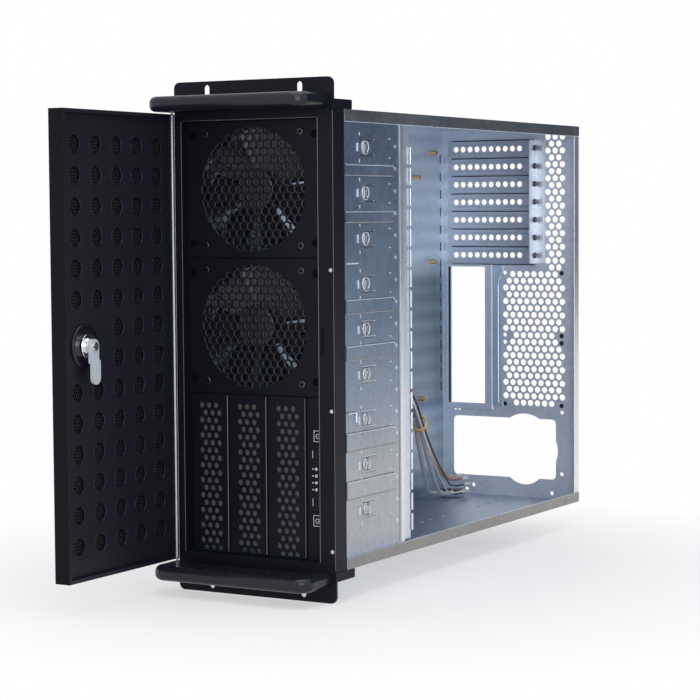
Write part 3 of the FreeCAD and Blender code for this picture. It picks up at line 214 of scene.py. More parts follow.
def smooth(name, tint, rough, metallic=0.0, coat=0.0, spread=0.1, gloss=0.5):
    """A plain moulded, plated or sheathed surface with slight unevenness."""
    look = Finish(name, {"Metallic": metallic, "Coat Weight": coat, "Coat Roughness": 0.12,
                         "Specular IOR Level": gloss})
    soft = look.noise(60.0, 3.0, 0.5)
    fine = look.noise(700.0, 2.0, 0.5)
    darker = tuple(c * (1 - spread * 1.6) for c in tint)
    return look.vary({
        "Base Color": look.mix(soft, darker, tint),
        "Roughness": rough + spread * 0.6 * soft - spread * 0.2 * fine,
        "Normal": look.bump(fine, 0.06 * (1 - 0.85 * metallic), 0.0001),
    })


def filter_weave(name):
    """Black filter cloth: crossed threads with dark gaps."""
    look = Finish(name, {"Metallic": 0.0})
    across = look.node("ShaderNodeMath", {"operation": "SINE"}, {0: look.axis(1) * 3300.0})
    along = look.node("ShaderNodeMath", {"operation": "SINE"}, {0: look.axis(2) * 3300.0})
    thread = across * along * 0.5 + 0.5
    return look.vary({
        "Base Color": look.mix(thread, (0.006, 0.006, 0.008), (0.05, 0.05, 0.06)),
        "Roughness": 0.75 - 0.25 * thread,
        "Normal": look.bump(thread, 0.5, 0.0006),
    })


PLAIN = (1.0, 1.0, 1.0)
# Painted light: the tray, cage, rim, lip, rear, slot blank, shelf and highlight sheets are one galvanised
# steel in lighter and darker copies, each set for how light falls on its piece; their colour stops are
# painted reflections and shade up the rack width, and the tray's sine streaks are painted reflections of the
# card slots.
TRAY_STEEL = sheet_steel("tray sheet", (0.66, 0.72, 0.80), (0.50, 0.56, 0.65), 0.30,
                         ((0.0, (0.52, 0.58, 0.64)), (0.03, (0.50, 0.57, 0.62)), (0.05, (0.50, 0.57, 0.62)),
                          (0.20, (0.52, 0.58, 0.64)), (0.40, (0.38, 0.46, 0.54)), (0.58, (0.40, 0.49, 0.57)),
                          (0.66, (0.98, 1.02, 1.08)), (0.95, (1.10, 1.12, 1.16))), 0.85, 0.45)
CAGE_STEEL = sheet_steel("cage sheet", (0.58, 0.62, 0.68), (0.40, 0.44, 0.50), 0.27,
                         ((0.0, (0.66, 0.78, 0.95)), (0.06, (0.98, 0.92, 0.88)), (0.20, (0.96, 0.92, 0.88)),
                          (0.36, (0.64, 0.72, 0.80)), (0.55, (0.46, 0.58, 0.70)), (1.0, (0.48, 0.60, 0.75))))
# Painted highlight: a lighter, glossier copy of the zinc sheet for the pressed field and its rounded step.
RIM_STEEL = sheet_steel("rim sheet", (0.78, 0.86, 0.94), (0.66, 0.76, 0.88), 0.22)
# Painted shade: a darker copy of the zinc sheet for the side walls' open lips, warmer and lighter at the
# lower side as a painted floor reflection.
LIP_STEEL = sheet_steel("lip sheet", (0.29, 0.31, 0.35), (0.20, 0.21, 0.24), 0.30,
                        ((0.0, (1.35, 1.20, 1.05)), (0.1, (1.35, 1.20, 1.05)), (0.2, PLAIN), (1.0, PLAIN)))
# Painted light: a lighter copy of the zinc sheet for the rear wall.
REAR_STEEL = sheet_steel("rear sheet", (0.78, 0.84, 0.92), (0.62, 0.69, 0.80), 0.34, None, 0.60)
BLANK_STEEL = sheet_steel("slot blank sheet", (0.60, 0.65, 0.72), (0.46, 0.51, 0.59), 0.30)
SHELF_STEEL = sheet_steel("shelf sheet", (0.80, 0.84, 0.90), (0.62, 0.67, 0.74), 0.28)
STEEL = sheet_steel("galvanised sheet", (0.60, 0.66, 0.75), (0.44, 0.50, 0.59), 0.30)
STEEL_SMOOTH = sheet_steel("smooth zinc sheet", (0.66, 0.71, 0.79), (0.52, 0.58, 0.67), 0.24)
COAT = powder_coat("black powder coat", (0.0048, 0.0050, 0.0105), 0.36, 0.22, 0.14)
DOOR_COAT = powder_coat("door powder coat", (0.0090, 0.0090, 0.0170), 0.38, 0.22)
# Painted shade: a darker, less glossy copy of the door coat for the door's far edge.
DOOR_EDGE = powder_coat("door edge painted shade", (0.0060, 0.0060, 0.0080), 0.50, 0.22, 0.08)
SATIN = powder_coat("satin black", (0.0085, 0.0085, 0.0170), 0.20, 0.05)
BLACK_PLASTIC = smooth("black moulding", (0.008, 0.008, 0.010), 0.42)
FAN_PLASTIC = smooth("fan moulding", (0.022, 0.022, 0.030), 0.30)
CHROME = smooth("bright plating", (0.80, 0.82, 0.85), 0.09, 1.0, 0.0, 0.06)
ZINC = smooth("zinc plating", (0.62, 0.62, 0.64), 0.28, 1.0)
GREY_SCREW = smooth("dull zinc", (0.075, 0.075, 0.085), 0.30, 1.0)
# Painted highlight for the frame and bay blank edges.
EDGE = smooth("painted edge highlight", (0.16, 0.16, 0.18), 0.30, 0.6)
# Painted highlight for the crest of the door's hinge edge.
ROLL = smooth("painted hinge highlight", (0.62, 0.63, 0.66), 0.42, 0.5)
CAM_ZINC = smooth("satin zinc", (0.74, 0.79, 0.87), 0.45, 0.35, 0.0, 0.06)
# Painted light: the grey of the lit bay inside, seen through the blank's holes.
HOLE_GREY = smooth("painted lit grey", (0.15, 0.15, 0.15), 0.6)
GROOVE = smooth("shaded groove", (0.035, 0.042, 0.055), 0.5, 0.6)
# Painted floor reflection and painted highlight for the lower and upper edges of ribs and lips.
FLOOR_REFLECTION_ZINC = smooth("painted floor reflection zinc", (0.50, 0.45, 0.42), 0.32, 0.9)
HIGHLIGHT_ZINC = smooth("painted highlight zinc", (0.74, 0.84, 0.95), 0.26, 0.9)
# Painted highlight for the fan plates' hole walls.
HOLE_WALL_HIGHLIGHT = smooth("painted hole wall highlight", (0.10, 0.10, 0.115), 0.35, 0.5)
BRASS = smooth("brass", (0.72, 0.55, 0.26), 0.28, 1.0)
BOARD = smooth("circuit board", (0.02, 0.09, 0.04), 0.40, 0.0, 0.3)
LENS = smooth("clear lens", (0.72, 0.74, 0.76), 0.12, 0.0, 0.6)
GREY_SHEATH = smooth("grey sheath", (0.72, 0.71, 0.74), 0.42, 0.0, 0.0, 0.06)
BLACK_SHEATH = smooth("black sheath", (0.018, 0.018, 0.020), 0.42)
RED_SHEATH = smooth("red sheath", (0.52, 0.06, 0.05), 0.42)
YELLOW_SHEATH = smooth("yellow sheath", (0.80, 0.45, 0.09), 0.42)
WHITE_SHEATH = smooth("white sheath", (0.80, 0.79, 0.78), 0.40)
TIE_BAND = smooth("tie band", (0.78, 0.50, 0.16), 0.5)
FILTER = filter_weave("filter cloth")
# Painted highlight: a lighter, glossier copy of the zinc sheet for edges, crests, lugs and wires that catch
# the light.
HIGHLIGHT_STEEL = sheet_steel("painted highlight sheet", (0.86, 0.89, 0.94), (0.72, 0.76, 0.82), 0.20)
FILTER_EDGE = smooth("filter edge", (0.022, 0.022, 0.028), 0.40)
ICON = smooth("printed icon", (0.72, 0.72, 0.70), 0.5)
# Near-black for painted shade in screw recesses and in the door's hollow, and for the dark joints between the
# plates and the plate screws' heads.
DARK_HOLE = smooth("dark inside", (0.0025, 0.0025, 0.003), 0.6, 0.0, 0.0, 0.1, 0.06)

NODE_FINISH = {
    "tray": TRAY_STEEL, "rear_panel": REAR_STEEL, "slot_screw_rail": SHELF_STEEL, "cage_top": CAGE_STEEL,
    "partition": STEEL_SMOOTH, "slot_screws": GREY_SCREW, "standoffs": BRASS, "frame_rivets": ZINC,
    "fan_screws": GREY_SCREW, "plate_screws": DARK_HOLE, "control_board": BOARD, "usb_ports": BLACK_PLASTIC,
    "leds": LENS, "power_button": BLACK_PLASTIC, "reset_button": BLACK_PLASTIC, "front_frame": COAT,
    "control_strip": COAT, "door_skin": DOOR_COAT, "door_plate": DOOR_COAT, "door_mesh": FILTER,
    "hinge_pins": ZINC, "lock_boss": SATIN, "lock_barrel": CHROME, "lock_cam": CAM_ZINC, "cam_screw": ZINC,
    "hook_wires": HIGHLIGHT_STEEL, "grey_cable_1": GREY_SHEATH, "grey_cable_2": GREY_SHEATH,
    "lead_black": BLACK_SHEATH, "lead_red": RED_SHEATH, "lead_yellow": YELLOW_SHEATH,
    "lead_white": WHITE_SHEATH, "cable_plugs": BLACK_PLASTIC, "lead_plugs": WHITE_SHEATH,
    "cable_tie": TIE_BAND, "cable_sleeve": BLACK_SHEATH,
}
PREFIX_FINISH = {
    "slot_cover": STEEL_SMOOTH, "bay_bracket": STEEL, "fan_frame": FAN_PLASTIC, "fan_rotor": FAN_PLASTIC,
    "fan_plate": COAT, "bay_cover": COAT, "ear_": COAT, "handle_": SATIN,
}


def finish_for(name):
    if name in NODE_FINISH:
        return NODE_FINISH[name]
    return next(look for prefix, look in PREFIX_FINISH.items() if name.startswith(prefix))


for name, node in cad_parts.items():
    node.data.materials.clear()
    node.data.materials.append(finish_for(name))


# ---- camera, floor and light ----
def aim(name, data, spot, turn):
    made = bpy.data.objects.new(name, data)
    made.matrix_world = Matrix.Translation(spot) @ turn.to_4x4()
    bpy.context.scene.collection.objects.link(made)
    return made


VIEW_AZIMUTH = math.radians(30.04)
VIEW_ELEVATION = math.radians(3.73)
VIEW_ROLL = math.radians(-0.38)
back = Vector((math.sin(VIEW_AZIMUTH) * math.cos(VIEW_ELEVATION),
               -math.cos(VIEW_AZIMUTH) * math.cos(VIEW_ELEVATION), math.sin(VIEW_ELEVATION)))
side = Vector((math.cos(VIEW_AZIMUTH), math.sin(VIEW_AZIMUTH), 0))
rise = back.cross(side)
right = side * math.cos(VIEW_ROLL) + rise * math.sin(VIEW_ROLL)
upward = rise * math.cos(VIEW_ROLL) - side * math.sin(VIEW_ROLL)
lens_data = bpy.data.cameras.new("camera")
lens_data.lens = 109.82
lens_data.sensor_width = 36.0
lens_data.clip_end = 60.0
camera = aim("camera", lens_data, at(1158.9, -1674.8, 360.8), Matrix((right, upward, back)).transposed())
bpy.context.scene.camera = camera


def studio_light(name, spot, target, size, power, tint=(1, 1, 1)):
    data = bpy.data.lights.new(name, "AREA")
    data.shape = "RECTANGLE"
    data.size, data.size_y = size
    data.energy = power
    data.color = tint
    turn = (Vector(target) - Vector(spot)).to_track_quat("-Z", "Y").to_matrix()
    return aim(name, data, Vector(spot), turn)


studio_light("overhead softbox", (0.3, -0.3, 2.8), (0.0, 0.2, 0.2), (2.4, 2.4), 34, (0.95, 0.97, 1.0))
studio_light("camera side softbox", (2.3, -2.9, 1.3), (0.0, 0.3, 0.2), (2.0, 2.2), 48, (0.88, 0.92, 1.0))


def surround():
    """White behind the object for the camera and for reflections, softer light for everything else."""
    world = bpy.data.worlds.new("surround")
    bpy.context.scene.world = world
    world.use_nodes = True
    tree = world.node_tree
    shade = tree.nodes["Background"]
    shade.inputs["Color"].default_value = (1, 1, 1, 1)
    path = tree.nodes.new("ShaderNodeLightPath")
    seen = tree.nodes.new("ShaderNodeMath")
    seen.operation = "MAXIMUM"
    tree.links.new(path.outputs["Is Camera Ray"], seen.inputs[0])
    tree.links.new(path.outputs["Is Glossy Ray"], seen.inputs[1])
    through = tree.nodes.new("ShaderNodeMath")
    through.operation = "MAXIMUM"
    tree.links.new(seen.outputs[0], through.inputs[0])
    tree.links.new(path.outputs["Is Transmission Ray"], through.inputs[1])
    level = tree.nodes.new("ShaderNodeMapRange")
    level.inputs["To Min"].default_value = 0.50
    level.inputs["To Max"].default_value = 1.0
    tree.links.new(through.outputs[0], level.inputs["Value"])
    tree.links.new(level.outputs[0], shade.inputs["Strength"])


surround()


def clear_selection():
    bpy.ops.object.select_all(action="DESELECT")


def settle(piece):
    """Puts a piece's place into its mesh, so that its own origin is the frame's."""
    clear_selection()
    piece.select_set(True)
    bpy.context.view_layer.objects.active = piece
    bpy.ops.object.transform_apply(location=True, rotation=True, scale=True)
    return piece


def shaped(piece, kind, values):
    """Applies one modifier to a piece."""
    clear_selection()
    piece.select_set(True)
    bpy.context.view_layer.objects.active = piece
    step = piece.modifiers.new("step", kind)
    for key, value in values.items():
        setattr(step, key, value)
    bpy.ops.object.modifier_apply(modifier=step.name)
    return piece


def pale_floor():
    """Near-white floor that keeps the shadow and fades to plain white away from the object."""
    clear_selection()
    bpy.ops.mesh.primitive_plane_add(size=24.0, location=(0, 4.0, 0))
    floor = settle(bpy.context.object)
    floor.name = "floor"
    look = Finish("pale floor", {"Base Color": (0.88, 0.88, 0.89), "Roughness": 0.9,
                                 "Specular IOR Level": 0.1})
    tree = look.tree
    glow = tree.nodes.new("ShaderNodeEmission")
    blend = tree.nodes.new("ShaderNodeMixShader")
    out = next(n for n in tree.nodes if n.type == "OUTPUT_MATERIAL")
    reach = look.node("ShaderNodeVectorMath", {"operation": "DISTANCE"},
                      {0: look.place(), 1: (0.0, 0.18, 0.0)}, 1)
    far = look.node("ShaderNodeMapRange", {}, {"Value": reach, "From Min": 0.22, "From Max": 0.56,
                                               "To Min": 0.52, "To Max": 1.0})
    camera_ray = look.node("ShaderNodeLightPath", {}, {}, 0)
    glossy_ray = look.node("ShaderNodeLightPath", {}, {}, 3)
    seen = look.node("ShaderNodeMath", {"operation": "MAXIMUM"}, {0: camera_ray, 1: glossy_ray})
    tree.links.new((far * seen).socket, blend.inputs[0])
    tree.links.new(look.shader.outputs[0], blend.inputs[1])
    tree.links.new(glow.outputs[0], blend.inputs[2])
    tree.links.new(blend.outputs[0], out.inputs["Surface"])
    floor.data.materials.append(look.material)


def dark_flag():
    """Grey card out of view at the rear right, which gives the sheet metal its darker reflections."""
    spot = Vector((1.25, 1.75, 1.05))
    turn = (Vector((0.0, 0.0, 0.45)) - spot).to_track_quat("Z", "Y").to_euler()
    clear_selection()
    bpy.ops.mesh.primitive_plane_add(size=1, location=spot, rotation=turn)
    card = bpy.context.object
    card.scale = (2.6, 1.9, 1)
    settle(card)
    card.name = "dark_flag"
    look = Finish("dark flag", {"Base Color": (0.07, 0.09, 0.13), "Roughness": 0.9,
                                "Specular IOR Level": 0.0})
    card.data.materials.append(look.material)
    card.visible_camera = False


dark_flag()
pale_floor()

# ---- leads inside the case ----
LEAD_END_RUN = 30.0
LEAD_SAG = 7.0
BUNDLE = ((150, 22, 140), (150, 56, 140), (151, 98, 162), (151, 142, 184), (149, 184, 184),
          (138, 221, 162), (118, 268, 140))
CABLES = {
    "grey_cable_1": ((0.0, 0.0), (35.0, 503.0, 36.0), 2.3, GREY_SHEATH, "grey_sheath"),
    "grey_cable_2": ((-5.0, 1.6), (22.0, 500.0, 36.0), 2.3, GREY_SHEATH, "grey_sheath"),
    "lead_black": ((3.9, 0.6), (46.0, 510.0, 45.0), 1.0, BLACK_SHEATH, "black_sheath"),
    "lead_red": ((2.7, 3.6), (45.0, 507.0, 52.0), 1.0, RED_SHEATH, "red_sheath"),
    "lead_yellow": ((-1.2, 4.3), (38.0, 508.0, 55.0), 1.0, YELLOW_SHEATH, "yellow_sheath"),
    "lead_white": ((2.2, -3.8), (48.0, 500.0, 38.0), 1.0, WHITE_SHEATH, "white_sheath"),
}


def lead_route(offset, end):
    dx, dz = offset
    route = [Vector((x + dx, y, z + dz)) for x, y, z in BUNDLE]
    tie = route[-1]
    last = Vector((end[0], end[1] - LEAD_END_RUN, end[2]))
    runs = 5
    for i in range(1, runs + 1):
        s = i / runs
        point = tie + (last - tie) * s
        point.z -= LEAD_SAG * 4 * s * (1 - s)
        route.append(point)
    route.append(Vector(end))
    return route


def lead_plug(name, end, wide):
    """Connector at a lead's free end: black block or small pale housing."""
    width, thick, length = (10.0, 5.6, 16.0) if wide else (5.2, 2.6, 13.0)
    x, y, z = end
    clear_selection()
    low = at(x - width / 2, y, z - thick / 2)
    high = at(x + width / 2, y + length, z + thick / 2)
    bpy.ops.mesh.primitive_cube_add(size=1, location=(low + high) / 2, scale=high - low)
    body = settle(bpy.context.object)
    shaped(body, "BEVEL", {"width": 0.0005, "segments": 2, "limit_method": "ANGLE"})
    body.name = name + "_plug"
    body.data.materials.append(BLACK_PLASTIC if wide else WHITE_SHEATH)
    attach(body, "case")
    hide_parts("cable_plugs" if wide else "lead_plugs")
    return body


def lay_leads():
    for name, (offset, end, radius, look, slot) in CABLES.items():
        route = lead_route(offset, end)
        curve = bpy.data.curves.new(name, "CURVE")
        curve.dimensions = "3D"
        curve.bevel_depth = radius / 1000
        curve.bevel_resolution = 4
        curve.resolution_u = 8
        curve.use_fill_caps = True
        spline = curve.splines.new("NURBS")
        spline.points.add(len(route) - 1)
        for point, spot in zip(spline.points, route):
            point.co = (*at(*spot), 1.0)
        spline.order_u = 3
        spline.use_endpoint_u = True
        curve.materials.append(look)
        lead = bpy.data.objects.new(name + "_run", curve)
        bpy.context.scene.collection.objects.link(lead)
        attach(lead, "case")
        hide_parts(name)
        at(*route[0])
        2 * radius / 1000
        lead_plug(name, end, radius > 2)


lay_leads()

# ---- making pieces ----
def take_on(piece, name, look, slot, body, *nodes):
    """Gives a finished piece its name, surface and body, and the CAD nodes that it stands for."""
    piece.name = name
    piece.data.materials.clear()
    piece.data.materials.append(look)
    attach(piece, body)
    if nodes:
        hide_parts(*nodes)
    return piece


def block(low, high):
    """A cuboid between two corners."""
    a = at(*low)
    b = at(*high)
    clear_selection()
    bpy.ops.mesh.primitive_cube_add(size=1, location=(a + b) / 2, scale=b - a)
    return settle(bpy.context.object)


def post(start, end, radius, sides=24, turn=0.0, tip=None):
    """A round or many-sided bar between two points, narrowing to another radius if one is given."""
    a = at(*start)
    b = at(*end)
    along = b - a
    facing = along.to_track_quat("Z", "Y").to_matrix() @ Matrix.Rotation(math.radians(turn), 3, "Z")
    clear_selection()
    bpy.ops.mesh.primitive_cone_add(vertices=sides, radius1=radius / 1000,
                                    radius2=(radius if tip is None else tip) / 1000, depth=along.length,
                                    location=(a + b) / 2, rotation=facing.to_euler())
    return settle(bpy.context.object)


def join(pieces):
    clear_selection()
    for piece in pieces:
        piece.select_set(True)
    bpy.context.view_layer.objects.active = pieces[0]
    if len(pieces) > 1:
        bpy.ops.object.join()
    return pieces[0]


def spread(piece, shifts):
    """Copies of a piece at each shift in millimetres, joined in place of the first."""
    made = []
    for shift in shifts:
        copy = piece.copy()
        copy.data = piece.data.copy()
        copy.data.transform(Matrix.Translation(Vector(shift) / 1000))
        bpy.context.scene.collection.objects.link(copy)
        made.append(copy)
    bpy.data.objects.remove(piece)
    return join(made)


def carve(piece, tool, operation="DIFFERENCE"):
    shaped(piece, "BOOLEAN", {"operation": operation, "solver": "EXACT", "object": tool})
    bpy.data.objects.remove(tool)
    return piece


def soften(piece, width, segments=2):
    """Rounds the sharp edges."""
    return shaped(piece, "BEVEL", {"width": width / 1000, "segments": segments, "limit_method": "ANGLE",
                                   "angle_limit": math.radians(40), "harden_normals": False})


def cutters(plane, level, spots, radius, sides, turn=0.0, reach=4.0):
    """Bars through a sheet at each spot: plane y holds (x, z), plane x holds (y, z)."""
    if plane == "y":
        start = (0, level - reach, 0)
        end = (0, level + reach, 0)
        shifts = [(x, 0, z) for x, z in spots]
    else:
        start = (level - reach, 0, 0)
        end = (level + reach, 0, 0)
        shifts = [(0, y, z) for y, z in spots]
    return spread(post(start, end, radius, sides, turn), shifts)


def refined(node, name, look, slot, body, width):
    """The CAD piece with its flats made whole and its sharp edges eased."""
    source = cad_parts[node]
    piece = bpy.data.objects.new(name, source.data.copy())
    bpy.context.scene.collection.objects.link(piece)
    clear_selection()
    piece.select_set(True)
    bpy.context.view_layer.objects.active = piece
    bpy.ops.object.mode_set(mode="EDIT")
    bpy.ops.mesh.select_all(action="SELECT")
    bpy.ops.mesh.remove_doubles(threshold=0.00002)
    bpy.ops.mesh.dissolve_limited(angle_limit=math.radians(1.0))
    bpy.ops.object.mode_set(mode="OBJECT")
    soften(piece, width)
    bpy.ops.object.shade_smooth_by_angle(angle=math.radians(35))
    shaped(piece, "WEIGHTED_NORMAL", {"keep_sharp": True})
    return take_on(piece, name, look, slot, body, node)


# ---- fan plates, rotors and screws ----
GRILLE_RADIUS = 58.0
MESH_PITCH = 8.0
MESH_BAR = 1.15
FAN_SCREW_HALF = 52.5
PLATE_SCREW_REACH = 67.3
PLATE_SCREW_Z = 50.0
ROW = math.sqrt(3) / 2


def honeycomb(centre_a, centre_b, reach, pitch):
    """Centres of a staggered hole field that cover a circle."""
    spots = []
    rows = int(reach / (pitch * ROW)) + 1
    columns = int(reach / pitch) + 1
    for row in range(-rows, rows + 1):
        for column in range(-columns, columns + 1):
            a = (column + 0.5 * (row % 2)) * pitch
            b = row * pitch * ROW
            if math.hypot(a, b) < reach:
                spots.append((centre_a + a, centre_b + b))
    return spots


def fan_plate(name, z0):
    """Black plate whose round field of six-sided holes runs up to a clean circle, with a lighter copy set
    just behind it that shows at one side of each hole as a painted highlight on the hole walls.
    """
    middle = z0 + PLATE_HEIGHT / 2
    y = RECESS_DEPTH
    plate = block((RECESS_X0 + 0.15, y, z0 + 0.15), (RECESS_X1 - 0.15, y + SHEET, z0 + PLATE_HEIGHT - 0.15))
    soften(plate, 0.35)
    size = (MESH_PITCH - MESH_BAR) / 2 / ROW
    cells = cutters("y", y, honeycomb(FAN_X, middle, GRILLE_RADIUS + 2, MESH_PITCH), size, 6, 0)
    rim = post((FAN_X, y - 3, middle), (FAN_X, y + 4, middle), GRILLE_RADIUS, 96)
    carve(cells, rim, "INTERSECT")
    carve(plate, cells)
    # Painted highlight: a lighter copy of the plate, shifted a little behind, shows on one side of each hole
    # wall.
    highlight_liner = plate.copy()
    highlight_liner.data = plate.data.copy()
    bpy.context.scene.collection.objects.link(highlight_liner)
    highlight_liner.data.transform(Matrix.Translation(Vector((0.9, 0.7, 0)) / 1000))
    take_on(plate, name + "_sheet", COAT, "black_coat", "case", name)
    carve(highlight_liner, post((FAN_X, y - 3, middle), (FAN_X, y + 4, middle), GRILLE_RADIUS + 3, 64), "INTERSECT")
    take_on(highlight_liner, name + "_walls", HOLE_WALL_HIGHLIGHT, "black_coat", "case")


def wide_blades(node, name, body, middle):
    """The rotor with a second row of blades close behind the first, so that little shows between them: the
    second row is painted shade, standing in for the dark behind the rotor.
    """
    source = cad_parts[node]
    centre = at(FAN_X, 22.0, middle)
    turn = (Matrix.Translation(centre) @ Matrix.Scale(0.985, 4) @ Matrix.Rotation(math.radians(13.0), 4, "Y")
            @ Matrix.Translation(-centre))
    rotors = []
    for matrix in (Matrix.Identity(4), turn):
        rotor = bpy.data.objects.new(name, source.data.copy())
        rotor.data.transform(matrix)
        bpy.context.scene.collection.objects.link(rotor)
        rotors.append(rotor)
    take_on(join(rotors), name, FAN_PLASTIC, "fan_plastic", body, node)


def frame_edge_highlights():
    """Painted highlights along the edges of the front frame's recess and corner, and of the bay blanks."""
    beads = [
        post((RECESS_X1 + 0.5, -0.1, RECESS_Z0), (RECESS_X1 + 0.5, -0.1, RECESS_Z1), 0.42, 10),
        post((RECESS_X0 - 0.4, -0.1, RECESS_Z0), (RECESS_X0 - 0.4, -0.1, RECESS_Z1), 0.32, 10),
        post((RECESS_X0, -0.1, RECESS_Z1 + 0.4), (RECESS_X1, -0.1, RECESS_Z1 + 0.4), 0.3, 10),
        post((CASE_HEIGHT - 0.5, 0.2, BODY_Z0 + 2), (CASE_HEIGHT - 0.5, 0.2, BODY_Z1 - 2), 0.42, 10),
    ]
    for i in range(3):
        x = BAY_X0 + BAY_WIDTH * (i + 1) - 1.0
        y = RECESS_DEPTH - 1.6
        beads.append(post((x, y, RECESS_Z0 + 2), (x, y, LOWER_PLATE_Z0 - 2), 0.5, 10))
    take_on(join(beads), "frame_edge_highlights", EDGE, "black_coat", "case")


def plate_gaps():
    """Black lines where the plates and blanks meet."""
    y = RECESS_DEPTH
    lines = []
    for z in (UPPER_PLATE_Z0, LOWER_PLATE_Z0):
        lines.append(block((RECESS_X0 + 0.3, y - 0.12, z - 0.55), (RECESS_X1 - 0.3, y + 1.0, z + 0.55)))
    for i in range(4):
        x = BAY_X0 + BAY_WIDTH * i
        lines.append(block((x - 0.4, y - 0.12, RECESS_Z0 + 0.5), (x + 0.4, y + 1.0, LOWER_PLATE_Z0 - 0.5)))
    take_on(join(lines), "plate_gaps", DARK_HOLE, "black_coat", "case")


def screw_sockets():
    """Painted shade: a dark cross in each fan screw's recess, and a dark disc round each plate screw."""
    crosses = []
    reach = FAN_SCREW_HALF
    for middle in (UPPER_PLATE_Z0 + PLATE_HEIGHT / 2, LOWER_PLATE_Z0 + PLATE_HEIGHT / 2):
        for a in (-1, 1):
            for b in (-1, 1):
                x = FAN_X + a * reach
                z = middle + b * reach
                low = RECESS_DEPTH - 2.2
                crosses.append(block((x - 1.7, low, z - 0.45), (x + 1.7, low + 1.2, z + 0.45)))
                crosses.append(block((x - 0.45, low, z - 1.7), (x + 0.45, low + 1.2, z + 1.7)))
        for a in (-1, 1):
            for b in (-1, 1):
                x = (RECESS_X0 + RECESS_X1) / 2 + a * PLATE_SCREW_REACH
                z = middle + b * PLATE_SCREW_Z
                crosses.append(post((x, RECESS_DEPTH - 0.12, z), (x, RECESS_DEPTH + 0.6, z), 3.5, 24))
    take_on(join(crosses), "screw_sockets", DARK_HOLE, "zinc_screw", "case")


# ---- bay covers ----
BAY_ROWS = 20
BAY_ROW_PITCH = 7.18
BAY_LOW_ROW = 41.0
BAY_HOLE_PITCH = 7.85
BAY_HOLE = 5.6


def bay_cover(index):
    """Blank with twenty short rows of round holes, its raised edge and its rear lips."""
    x0 = BAY_X0 + BAY_WIDTH * index
    x1 = x0 + BAY_WIDTH
    z0 = RECESS_Z0 + 0.2
    z1 = LOWER_PLATE_Z0 - 0.2
    y = RECESS_DEPTH
    plate = block((x0 + 0.2, y, z0), (x1 - 0.2, y + SHEET, z1))
    soften(plate, 0.3)
    spots = []
    for row in range(BAY_ROWS):
        first = x0 + (11.6 if row % 2 else 15.5)
        spots.extend((first + BAY_HOLE_PITCH * i, BAY_LOW_ROW + BAY_ROW_PITCH * row) for i in range(3))
    carve(plate, cutters("y", y, spots, BAY_HOLE / 2, 20))
    rib = soften(block((x1 - 1.7, y - 1.5, z0), (x1 - 0.3, y + 0.3, z1)), 0.45, 3)
    lips = [block((x, y + SHEET - 0.1, z0 + 12), (x + 0.9, y + 12, z1 - 12)) for x in (x0 + 0.2, x1 - 1.1)]
    cover = join([plate, rib] + lips)
    take_on(cover, "bay_blank_%d" % (index + 1), COAT, "black_coat", "case", "bay_cover_%d" % (index + 1))


def bay_lit_backing():
    """Grey sheet behind the bay blanks, painted light: it gives the holes the grey of the lit bay inside."""
    mat = block((BAY_X0 + 2, 11.6, RECESS_Z0 + 4), (BAY_X0 + 3 * BAY_WIDTH - 2, 12.6, LOWER_PLATE_Z0 - 4))
    take_on(mat, "bay_lit_backing", HOLE_GREY, "dust_filter", "case")


# ---- rear wall ----
SLOT_COUNT = 7
SLOT_PITCH = 20.32
SLOT_FIRST_Z = 430.65
SLOT_COVER_X0 = 9.0
SHELF_X = 121.4
IO_LOW = (12.3, 136.4)
IO_HIGH = (56.75, 295.15)
PSU_LOW = (15.0, 52.0)
PSU_HIGH = (146.0, 121.0)
VENT_PITCH = 8.9
VENT_ROW = 7.79
VENT_HOLE = 7.1
VENT_ROWS = 20
STRIP_VENTS = (145.1, 443.0)
FIELD_VENTS = (118.4, 287.0)
REAR_FAN_X = 117.6
REAR_FAN_MIDDLES = (252.7, 172.9)
REAR_FAN_HALF = 35.75
REAR_SMALL_HOLES = ((17.4, 129.5), (153.7, 129.5), (153.4, 58.8), (40.9, 40.5), (32.1, 35.1), (141, 36.2),
                    (22.5, 129.5))


def rear_fan_holes():
    """Screw holes as (x, z) of the two fan places."""
    half = REAR_FAN_HALF
    return [(REAR_FAN_X + a * half, middle + b * half)
            for middle in REAR_FAN_MIDDLES for a in (-1, 1) for b in (-1, 1)]


def vent_spots():
    """Both vent fields: a narrow strip above and the wide field behind two fan places."""
    spots = []
    for row in range(VENT_ROWS):
        z = STRIP_VENTS[1] - VENT_ROW * row
        count = 3 if row % 2 == 0 else 2
        spots.extend((STRIP_VENTS[0] + (i - (count - 1) / 2) * VENT_PITCH, z) for i in range(count))
    for row in range(VENT_ROWS):
        z = FIELD_VENTS[1] - VENT_ROW * row
        count = 9 if row % 2 == 0 else 8
        for i in range(count):
            x = FIELD_VENTS[0] + (i - (count - 1) / 2) * VENT_PITCH
            if all(math.hypot(x - a, z - b) > 6.2 for a, b in rear_fan_holes()):
                spots.append((x, z))
    return spots


def outline_tool(low, high, level, reach=4.0):
    """Box through a sheet between two (x, z) corners."""
    return block((low[0], level - reach, low[1]), (high[0], level + reach, high[1]))


